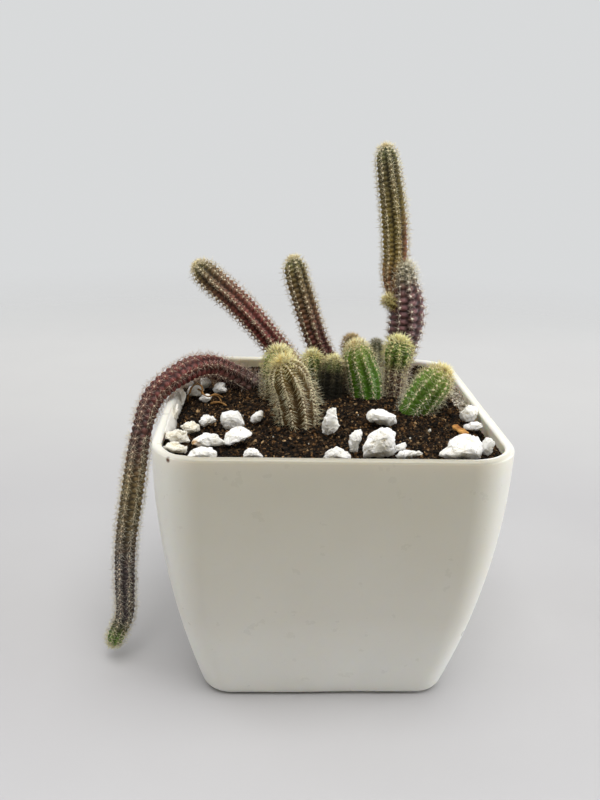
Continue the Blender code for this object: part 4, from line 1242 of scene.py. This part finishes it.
# Stones and scraps
def fine_copy(node, cell):
    """The node's solid with even small faces, as arrays."""
    holder = add_object("fine", frame["nodes"][node].data.copy())
    remesh = holder.modifiers.new("remesh", "REMESH")
    remesh.mode = "VOXEL"
    remesh.voxel_size = cell
    fine = modified_mesh(holder)
    points, normals = np.empty((2, len(fine.vertices) * 3))
    fine.vertices.foreach_get("co", points)
    fine.vertices.foreach_get("normal", normals)
    faces = {}
    for polygon in fine.polygons:
        faces.setdefault(len(polygon.vertices), []).append(list(polygon.vertices))
    bpy.data.objects.remove(holder)
    return points.reshape(-1, 3), normals.reshape(-1, 3), [np.array(group) for group in faces.values()]


STAIN_PLACE = np.array((-47.2, -40.8, 97.6)) * MM
STAINED = {"pebble_13", "pebble_16", "pebble_17"}
CREAMY = {"pebble_13", "pebble_14", "pebble_15"}
CHALK = np.array((0.94, 0.935, 0.915))
CREAM_CHALK = np.array((0.88, 0.84, 0.74))
STONE_DUST_AND_SHADE = (0.66, 0.59, 0.47)
RUST = (0.55, 0.28, 0.07)
STAIN_REACH = 3.6 * MM


# Corners of the stones' outlines in the photo, as across, up, across, up, in hundredths of each one's box.
OUTLINES = {
    1: (66, 100, 97, 98, 100, 55, 100, 0, 0, 0, 0, 22, 26, 76),
    2: (40, 98, 80, 100, 100, 85, 98, 60, 80, 35, 62, 0, 5, 5, 0, 50, 10, 80),
    3: (51, 100, 79, 100, 95, 67, 100, 0, 0, 0, 0, 15, 23, 46, 33, 79),
    4: (13, 93, 40, 100, 60, 98, 85, 78, 100, 52, 97, 15, 78, 0, 45, 8, 12, 22, 0, 45),
    5: (50, 100, 78, 95, 84, 62, 100, 36, 88, 16, 55, 0, 12, 5, 0, 34, 18, 66, 34, 90),
    7: (9, 88, 30, 96, 74, 100, 96, 70, 100, 24, 78, 0, 22, 0, 0, 30, 0, 59),
    8: (28, 97, 65, 100, 100, 80, 94, 55, 57, 25, 20, 0, 2, 5, 6, 45, 13, 80),
    9: (44, 80, 81, 100, 98, 80, 91, 40, 62, 7, 19, 0, 0, 20, 0, 47),
    10: (19, 90, 44, 95, 75, 55, 100, 0, 5, 0, 0, 60),
    11: (12, 50, 38, 100, 69, 85, 92, 40, 100, 0, 0, 5),
    12: (34, 100, 74, 97, 100, 58, 90, 33, 54, 17, 29, 0, 8, 33, 3, 58),
    13: (33, 100, 81, 96, 98, 53, 86, 18, 43, 0, 10, 18, 0, 61),
    14: (21, 81, 52, 100, 86, 85, 100, 37, 93, 0, 31, 6, 3, 25, 0, 50),
    15: (35, 96, 76, 100, 96, 60, 100, 13, 92, 0, 51, 11, 15, 40, 0, 60),
    16: (14, 65, 22, 93, 41, 96, 74, 84, 100, 46, 85, 9, 57, 5, 25, 0, 0, 28),
    17: (20, 60, 47, 96, 73, 84, 93, 40, 100, 0, 0, 0, 3, 10),
    18: (13, 71, 53, 95, 80, 100, 100, 71, 93, 36, 53, 10, 10, 0, 3, 35),
    19: (36, 81, 79, 100, 100, 77, 86, 35, 14, 0, 7, 35),
    24: (10, 81, 35, 92, 60, 100, 75, 86, 69, 70, 100, 46, 80, 33, 18, 30, 2, 54),
}


def reach_to(outline, angles):
    """How far an outline lies from its middle at each of these angles."""
    corners = np.array(outline).reshape(-1, 2) / 100 - 0.5
    found = np.zeros(len(angles))
    for start, end in zip(corners, np.roll(corners, -1, axis=0)):
        edge = end - start
        cross = np.cos(angles) * edge[1] - np.sin(angles) * edge[0]
        cross = np.where(np.abs(cross) < 1e-9, 1e-9, cross)
        far = (start[0] * edge[1] - start[1] * edge[0]) / cross
        along = (start[0] * np.sin(angles) - start[1] * np.cos(angles)) / cross
        hit = (far > 0) & (along >= -1e-6) & (along <= 1 + 1e-6)
        found = np.maximum(found, np.where(hit, far, 0.0))
    return found


SECTORS = 72


def fit_outline(points, outline):
    """Moves points out or in across the view from the front, so that their outline has these corners."""
    right, up = np.array(CAMERA.col[0][:3]), np.array(CAMERA.col[1][:3])
    seen = np.stack([points @ right, points @ up], -1)
    least, most = seen.min(0), seen.max(0)
    place = (seen - least) / (most - least) - 0.5
    angles = np.arctan2(place[:, 1], place[:, 0])
    away = np.hypot(place[:, 0], place[:, 1])
    sector = ((angles + math.pi) / (2 * math.pi) * SECTORS).astype(int) % SECTORS
    edge = np.full(SECTORS, 1e-6)
    np.maximum.at(edge, sector, away)
    edge = (np.roll(edge, 1) + 2 * edge + np.roll(edge, -1)) / 4
    middles = (np.arange(SECTORS) + 0.5) / SECTORS * 2 * math.pi - math.pi
    own = np.interp(angles, middles, edge, period=2 * math.pi)
    change = (place * (reach_to(outline, angles) / own - 1.0)[:, None]) * (most - least)
    points += change[:, :1] * right + change[:, 1:] * up


def break_facets(points, draw, count, least):
    """Flat broken faces: what stands beyond each plane is pressed onto it."""
    centre = (points.max(0) + points.min(0)) / 2
    for _ in range(count):
        direction = np.array([draw.gauss(0, 1), draw.gauss(0, 1), draw.gauss(0.35, 0.9)])
        direction /= np.linalg.norm(direction)
        reach = (points - centre) @ direction
        beyond = np.maximum(reach - reach.max() * draw.uniform(least, 0.94), 0.0)
        points -= direction * beyond[:, None] * 0.93


LAST_STONE = 26
CRAGS = 3.6
CRAG_LIFT = 0.10
# How many flat faces a stone gets, and how rough it is as a share of its size.
CREAMY_STONE = (9, 0.060)
WHITE_STONE = (16, 0.030)
# The nearest that a flat face comes to the middle, as a share of the stone's reach there.
OUTLINED_CUT = 0.80
FREE_CUT = 0.70
STONE_CELL = 0.18 * MM
STONE_CELLS = 36
PIT_DEPTH = 0.60 * MM
GRAIN_LIFT = 0.07 * MM
FOOT_DUST_AND_SHADE = 0.8 * MM


def facet_lift(place):
    """A small tilted plane in each cell of space, so that a surface breaks into flat chips."""
    middle = noise.voronoi(place)[1][0]
    tilt = noise.cell_vector(middle * 57.3) - Vector((0.5, 0.5, 0.5))
    return (place - middle).dot(tilt)


def make_stone(node):
    """A broken pumice stone: flat faces with crisp edges, pits and a chalky, uneven skin."""
    draw = random.Random(node)
    low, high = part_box(node)
    size = max(high - low)
    points, normals, faces = fine_copy(node, max(STONE_CELL, size / STONE_CELLS))
    seed = Vector((int(node[-2:]) * 3.1, 0.7, 1.9))
    creamy = node in CREAMY
    outline = OUTLINES.get(int(node[-2:]))
    if outline:
        fit_outline(points, outline)
    facets, rough = CREAMY_STONE if creamy else WHITE_STONE
    break_facets(points, draw, facets, OUTLINED_CUT if outline else FREE_CUT)
    rough *= size
    white = CREAM_CHALK if creamy else CHALK
    tints = np.empty((len(points), 3))
    for i, (point, normal) in enumerate(zip(points, normals)):
        place = Vector(point)
        mid = noise.noise(place * (5.0 / size) + seed * 2)
        ridged = abs(noise.noise(place * (3.0 / size) + seed * 3))
        fine = noise.noise(place * 1300.0 + seed) + 0.6 * noise.noise(place * 2600.0 + seed)
        pit = max(0.0, noise.noise(place * 900.0 + seed * 4) - 0.20)
        gash = max(0.0, 0.10 - ridged) / 0.10
        crag = facet_lift(place * (CRAGS / size) + seed)
        lift = rough * (mid - 1.1 * gash) + CRAG_LIFT * size * crag
        points[i] = point + normal * (lift - PIT_DEPTH * pit + GRAIN_LIFT * fine)
        # Pits, cracks and the foot darken toward a dust colour: partly dust, partly painted shade.
        buried = min(1.0, max(0.0, (low.z + FOOT_DUST_AND_SHADE - point[2]) / FOOT_DUST_AND_SHADE))
        share = min(0.80, 0.60 * min(1.0, 1.2 * pit) + 0.10 * gash + 0.55 * buried)
        tints[i] = blend(white, STONE_DUST_AND_SHADE, share)
        if node in STAINED:
            near = max(0.0, 1.0 - np.linalg.norm(point - STAIN_PLACE) / STAIN_REACH)
            stain = min(0.9, max(0.0, near * (1.2 + 1.4 * noise.noise(place * 700.0))))
            tints[i] = blend(tints[i], RUST, stain)
    keep_in_box(points, low, high)
    piece = make_piece(node + "_stone", points, faces, tints, [PUMICE])
    piece.data.set_sharp_from_angle(angle=math.radians(30))
    add_piece(piece, SLOTS[node], node)


def keep_in_box(points, low, high):
    """Stretches points so that they span the solid's own box again."""
    for axis in range(3):
        least, most = points[:, axis].min(), points[:, axis].max()
        points[:, axis] = low[axis] + (points[:, axis] - least) * (high[axis] - low[axis]) / (most - least)


def make_scrap(node, cell, colours, material, crumple, fold):
    """A chip, flake or peel: crumpled all over, and creased upright by a fold deeper than that."""
    low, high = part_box(node)
    points, normals, faces = fine_copy(node, cell)
    tints = np.empty((len(points), 3))
    for i, (point, normal) in enumerate(zip(points, normals)):
        place = Vector(point)
        uneven = noise.noise(place * 700.0) + 0.5 * noise.noise(place * 1600.0)
        crease = abs(noise.noise(Vector((0.0, point[1] * 520.0, point[2] * 110.0)))) - 0.25
        points[i] = point + normal * crumple * uneven
        points[i, 0] += fold * crease
        share = min(1.0, max(0.0, 0.35 + 0.9 * noise.noise(place * 420.0)))
        tints[i] = blend(colours[0], colours[1], share)
    keep_in_box(points, low, high)
    add_piece(make_piece(node + "_scrap", points, faces, tints, [material]), SLOTS[node], node)


FIBRE_CELL = 0.45 * MM
FIBRE_TINT = (0.27, 0.14, 0.045)


def tube_arrays(route, radius, sides, colour):
    """A closed tube along a smooth route through points in metres."""
    rows = [(*(np.array(point) / MM), 1.0) for point in route]
    length, place, _ = curve_through(rows, 8)
    count = max(12, round(length[-1] / FIBRE_CELL))
    stations = np.linspace(0.02 * MM, length[-1] - 0.02 * MM, count)
    middle, across, over = frames_at(length, place, stations)
    theta = 2 * math.pi * np.arange(sides) / sides
    thick = radius * (0.8 + 0.2 * np.sin(stations * 900.0))
    thick[0] = thick[-1] = radius * 0.35
    points = (middle[:, None] + ring_directions(across, over, theta) * thick[:, None, None]).reshape(-1, 3)
    banded = np.repeat(0.75 + 0.5 * np.abs(np.sin(stations * 700.0)), sides)
    return points, tube_faces(count, sides), np.tile(colour, (len(points), 1)) * banded[:, None]


# Each strand's radius and route, in millimetres, with heights above the soil.
FIBRES = (
    (0.42, (
        (-52.5, 6.5, 0.4), (-51.5, 7.5, 3.0), (-49.5, 8.0, 4.2), (-47.6, 7.6, 3.2), (-47.2, 6.2, 1.0),
        (-45.0, 4.2, 0.4), (-42.0, 4.0, 1.4), (-39.2, 3.4, 0.4),
    )),
    (0.32, (
        (-53.4, 9.4, 0.3), (-53.0, 10.6, 3.4), (-51.0, 12.0, 5.0), (-48.6, 11.4, 4.6), (-47.4, 9.4, 2.4),
        (-46.6, 7.2, 1.0),
    )),
    (0.30, ((-45.8, 6.8, 0.8), (-43.6, 7.8, 2.4), (-41.2, 7.2, 2.0), (-39.8, 5.2, 0.5))),
    (0.60, ((-44.4, 4.9, -0.3), (-42.2, 4.7, 0.5), (-39.8, 4.0, 0.5), (-37.8, 3.0, -0.3))),
)


def make_fibres():
    low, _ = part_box("fibre")
    for number, (radius, rows) in enumerate(FIBRES, 1):
        first = number == 1
        base = low.z if first else soil_height(rows[0][0] * MM, rows[0][1] * MM)
        route = [(x * MM, y * MM, base + (z + radius) * MM) for x, y, z in rows]
        points, faces, tints = tube_arrays(route, radius * MM, 6, FIBRE_TINT)
        piece = make_piece(f"fibre_strand_{number}", points, faces, tints, [BARK])
        add_piece(piece, SLOTS["fibre"], *(("fibre",) if first else ()))


# Each grain's place and radius, in millimetres.
WHITE_GRAINS = (
    (36.6, -22.0, 0.9), (28.0, -30.0, 0.5), (-8.0, -36.0, 0.45), (-20.0, -30.0, 0.4), (44.0, -30.0, 0.4),
    (12.0, -8.0, 0.35), (-31.0, -8.0, 0.4), (20.0, -44.0, 0.4), (50.0, -40.0, 0.5), (-38.0, -20.0, 0.35),
)
GRAIN_TINT = (0.84, 0.82, 0.74)
DRIFT_GRAINS = 950
DRIFT_END = 46
DRIFT_CLIMB = 4.4
DRIFT_SLOPE = 1.5
DRIFT_PALE = (0.80, 0.75, 0.63)
DRIFT_DARK = (0.16, 0.10, 0.055)

FILM_ENDS = (-35.0 * MM, 13.0 * MM)
FILM_STEPS = 120
FILM_LEVELS = 14
FILM_THICK = 0.2 * MM
FILM_TOP = POT_HEIGHT - 0.5 * MM
FILM_TINT = np.array((0.92, 0.91, 0.87))
FOLDS_FROM = (-10.0 * MM, -6.0 * MM)
FOLD_DEPTH = 0.8 * MM
FOLD_TURN = 1.15
# How far the film stands out and how far it hangs down, in millimetres, along the wall.
FILM_BULGE = ((-35, 0.1), (-30, 1.1), (-23, 2.3), (-15, 1.9), (-10, 0.9), (-7, 0.7), (6, 1.3), (13, 0.2))
FILM_DROP = ((-35, 0.6), (-31, 2.2), (-24, 5), (-10, 5.4), (-8, 4.2), (-3, 5.6), (7, 5.2), (13, 1))


def make_film():
    """Loose white film on the left inner wall: a smooth bulge in front and hanging folds behind it."""
    points = []
    edge = outer_half(FILM_TOP) - LIP + 0.1 * MM
    for side in (0.0, 1.0):
        for step in range(FILM_STEPS + 1):
            y = FILM_ENDS[0] + (FILM_ENDS[1] - FILM_ENDS[0]) * step / FILM_STEPS
            bulge, drop = at_shares(FILM_BULGE, y / MM) * MM, at_shares(FILM_DROP, y / MM) * MM
            wave = math.sin(y / MM * FOLD_TURN + 1.5 * noise.noise(Vector((y * 160.0, 0.0, 0.0))))
            fold = eased(y, *FOLDS_FROM) * FOLD_DEPTH * abs(wave)
            for level in range(FILM_LEVELS + 1):
                share = level / FILM_LEVELS
                out = bulge * math.sin(math.pi * min(0.5, 0.62 * share)) + fold * share
                out += 0.12 * MM * noise.noise(Vector((y, share * 0.006, 0.2)) * 420.0)
                points.append((-edge + out - FILM_THICK * side, y, FILM_TOP - drop * share))
    count = len(points) // 2
    index = np.arange(count).reshape(FILM_STEPS + 1, FILM_LEVELS + 1)
    sheets = [index, index.T + count]
    for border, turned in ((index[:, 0], False), (index[:, -1], True), (index[0], True), (index[-1], False)):
        strip = np.stack([border, border + count])
        sheets.append(strip.T if turned else strip)
    quads = np.concatenate([sheet_faces(sheet) for sheet in sheets])
    tints = [FILM_TINT * (0.94 + 0.10 * noise.noise(Vector(point) * 300.0)) for point in points]
    add_piece(make_piece("wall_film", points, [quads], tints, [FILM]), SLOTS["flake"])


def make_debris():
    """Small white and cream grains that lie about, and a drift of pale dirt at the right-hand wall."""
    draw = random.Random("debris")
    places, radii, tints = [], [], []
    for x, y, radius in WHITE_GRAINS:
        places.append((x * MM, y * MM, soil_height(x * MM, y * MM) + 0.6 * radius * MM))
        radii.append(radius * MM)
        tints.append(GRAIN_TINT)
    wall = outer_half(SOIL_LEVEL) / MM - 2.6
    for _ in range(DRIFT_GRAINS):
        y = draw.uniform(0, DRIFT_END)
        away = abs(draw.gauss(0, 1.5))
        radius = draw.uniform(0.22, 0.85)
        ground = soil_height((wall - away) * MM, y * MM)
        climb = max(0.0, DRIFT_CLIMB - DRIFT_SLOPE * away) * draw.random()
        places.append(((wall - away - 0.6 * radius) * MM, y * MM, ground + (climb + 0.3 * radius) * MM))
        radii.append(radius * MM)
        tints.append(blend(DRIFT_DARK, DRIFT_PALE, draw.random() ** 0.8))
    points, faces, corners = scatter(draw, places, radii, 0.65)
    colours = np.repeat(np.array(tints), corners, 0)
    piece = make_piece("white_grains", points, [faces], colours, [PUMICE], smooth=False)
    add_piece(piece, SLOTS["pebble_01"])


# Stage, light and camera
# The cloth's tint by depth: painted shade near the pot and painted light toward the back.
FLOOR_PAINTED_SHADING = (
    (0.40, (0.50, 0.503, 0.52)), (0.455, (0.485, 0.485, 0.50)), (0.51, (0.475, 0.475, 0.485)),
    (0.62, (0.485, 0.487, 0.50)), (0.76, (0.565, 0.57, 0.575)), (0.96, (0.64, 0.645, 0.65)),
)
FLOOR_RADIUS = 3.0
FADE_FROM = 0.30
FADE_TO = 0.95


def make_floor():
    """Pale cloth, darker near the pot by painted shade and lighter to the back by painted light, that fades
    away around the pot.
    """
    bm = bmesh.new()
    bmesh.ops.create_circle(bm, cap_ends=True, segments=96, radius=FLOOR_RADIUS)
    floor = add_bmesh("floor", bm)
    t = Tree("floor_cloth")
    cloud = t.ramp(t.noise(9, 3), ((0.3, (0.97, 0.965, 0.97)), (0.7, WHITE)))
    depth = t.node("ShaderNodeSeparateXYZ", ("Vector", t.place()))
    tone = t.ramp(t.maths("ADD", depth.outputs["Y"], 0.5), FLOOR_PAINTED_SHADING)
    t.set(roughness=0.9, specular=0.1)
    t.finish(t.times(tone, cloud), None, t.bump(t.noise(900, 2), 0.0002, 0.12))
    away = t.maths("LENGTH", t.place(), kind="ShaderNodeVectorMath")
    limits = (("From Min", FADE_FROM), ("From Max", FADE_TO), ("To Min", 1.0), ("To Max", 0.0))
    fade = t.node("ShaderNodeMapRange", ("Value", away), *limits, interpolation_type="SMOOTHSTEP")
    t.link(fade.outputs["Result"], t.shader.inputs["Alpha"])
    floor.data.materials.append(t.owner)


# Each light's name, place, target, size, power in watts and colour.
LIGHTS = (
    ("key", (0.05, -0.42, 1.35), (0.0, 0.0, 0.05), (1.0, 1.0), 17.0, (1.0, 0.985, 0.96)),
    ("right", (1.10, 0.05, 0.18), (0.0, 0.0, 0.05), (0.8, 0.25), 7.6, (0.98, 0.99, 1.0)),
    ("left", (-1.00, -0.15, 0.50), (0.0, 0.0, 0.06), (0.7, 0.7), 1.6, (1.0, 0.99, 0.97)),
    ("back", (-0.90, 0.35, 1.25), (0.0, 0.0, 0.05), (0.6, 0.6), 2.0, (1.0, 0.995, 0.98)),
)


def make_light(name, place, target, size, energy, colour):
    light = bpy.data.lights.new(name, "AREA")
    light.shape = "RECTANGLE"
    light.size, light.size_y = size
    light.energy = energy
    light.color = colour
    made = add_object(name, light)
    made.location = place
    made.rotation_euler = (Vector(target) - Vector(place)).to_track_quat("-Z", "Y").to_euler()


LOW_LIGHT = ((0.15, (0.185, 0.168, 0.13)), (0.75, (0.50, 0.50, 0.51)))
HIGH_LIGHT = ((0.20, (0.26, 0.25, 0.22)), (0.66, (0.75, 0.75, 0.75)))
RISE = ((0.68, 0.0), (0.93, 1.0))
BACKGROUND = (0.690, 0.700, 0.705, 1.0)


def make_world():
    """Soft light, brightest from above and dim and warm from the front, on a plain pale background."""
    t = Tree("studio", bpy.data.worlds)
    bpy.context.scene.world = t.owner
    seen = t.nodes["Background"]
    seen.inputs["Color"].default_value = BACKGROUND
    axes = t.node("ShaderNodeSeparateXYZ", ("Vector", t.place("Generated"))).outputs
    stops = (("Y", LOW_LIGHT), ("Y", HIGH_LIGHT), ("Z", RISE))
    # The axes of the sky run from -1 to 1, and a ramp from 0 to 1.
    low, high, rise = (t.ramp(t.maths("MULTIPLY_ADD", axes[axis], 0.5, 0.5), row) for axis, row in stops)
    around = t.node("ShaderNodeBackground", ("Color", t.mix(rise, low, high)))
    path = t.node("ShaderNodeLightPath")
    shaders = ((1, around.outputs["Background"]), (2, seen.outputs["Background"]))
    both = t.node("ShaderNodeMixShader", ("Fac", path.outputs["Is Camera Ray"]), *shaders)
    t.link(both.outputs["Shader"], t.nodes["World Output"].inputs["Surface"])


def make_camera():
    camera = bpy.data.cameras.new("camera")
    camera.sensor_width = SENSOR
    camera.lens = FOCAL_SHARE * SENSOR
    camera.clip_start = 0.01
    made = add_object("camera", camera)
    made.matrix_world = CAMERA
    bpy.context.scene.camera = made


# Everything
FLESH = flesh_material()
SPINE = spine_material("spines", 0.55)
WOOL = spine_material("areole_wool", 0.85)
SOIL = soil_material()
PUMICE = pumice_material()
POT = pot_material()
BARK = bark_material()
FILM = film_material()

bpy.context.scene.view_settings.view_transform = "Standard"
make_camera()
make_world()
make_floor()
for row in LIGHTS:
    make_light(*row)

make_pot()
make_soil()
for one in ONE_STEM:
    make_stem(one)
make_stem(SEGMENT, TALL, BUD)
for number in range(1, LAST_STONE + 1):
    make_stone(f"pebble_{number:02d}")
make_scrap("chip", 0.14 * MM, ((0.66, 0.36, 0.10), (0.32, 0.13, 0.035)), BARK, 0.24 * MM, 0.0)
make_scrap("flake", 0.18 * MM, ((0.86, 0.84, 0.77), (0.66, 0.60, 0.48)), PUMICE, 0.08 * MM, 1.3 * MM)
make_scrap("peel", 0.18 * MM, ((0.86, 0.84, 0.78), (0.68, 0.62, 0.50)), PUMICE, 0.08 * MM, 1.3 * MM)
make_film()
make_fibres()
make_debris()
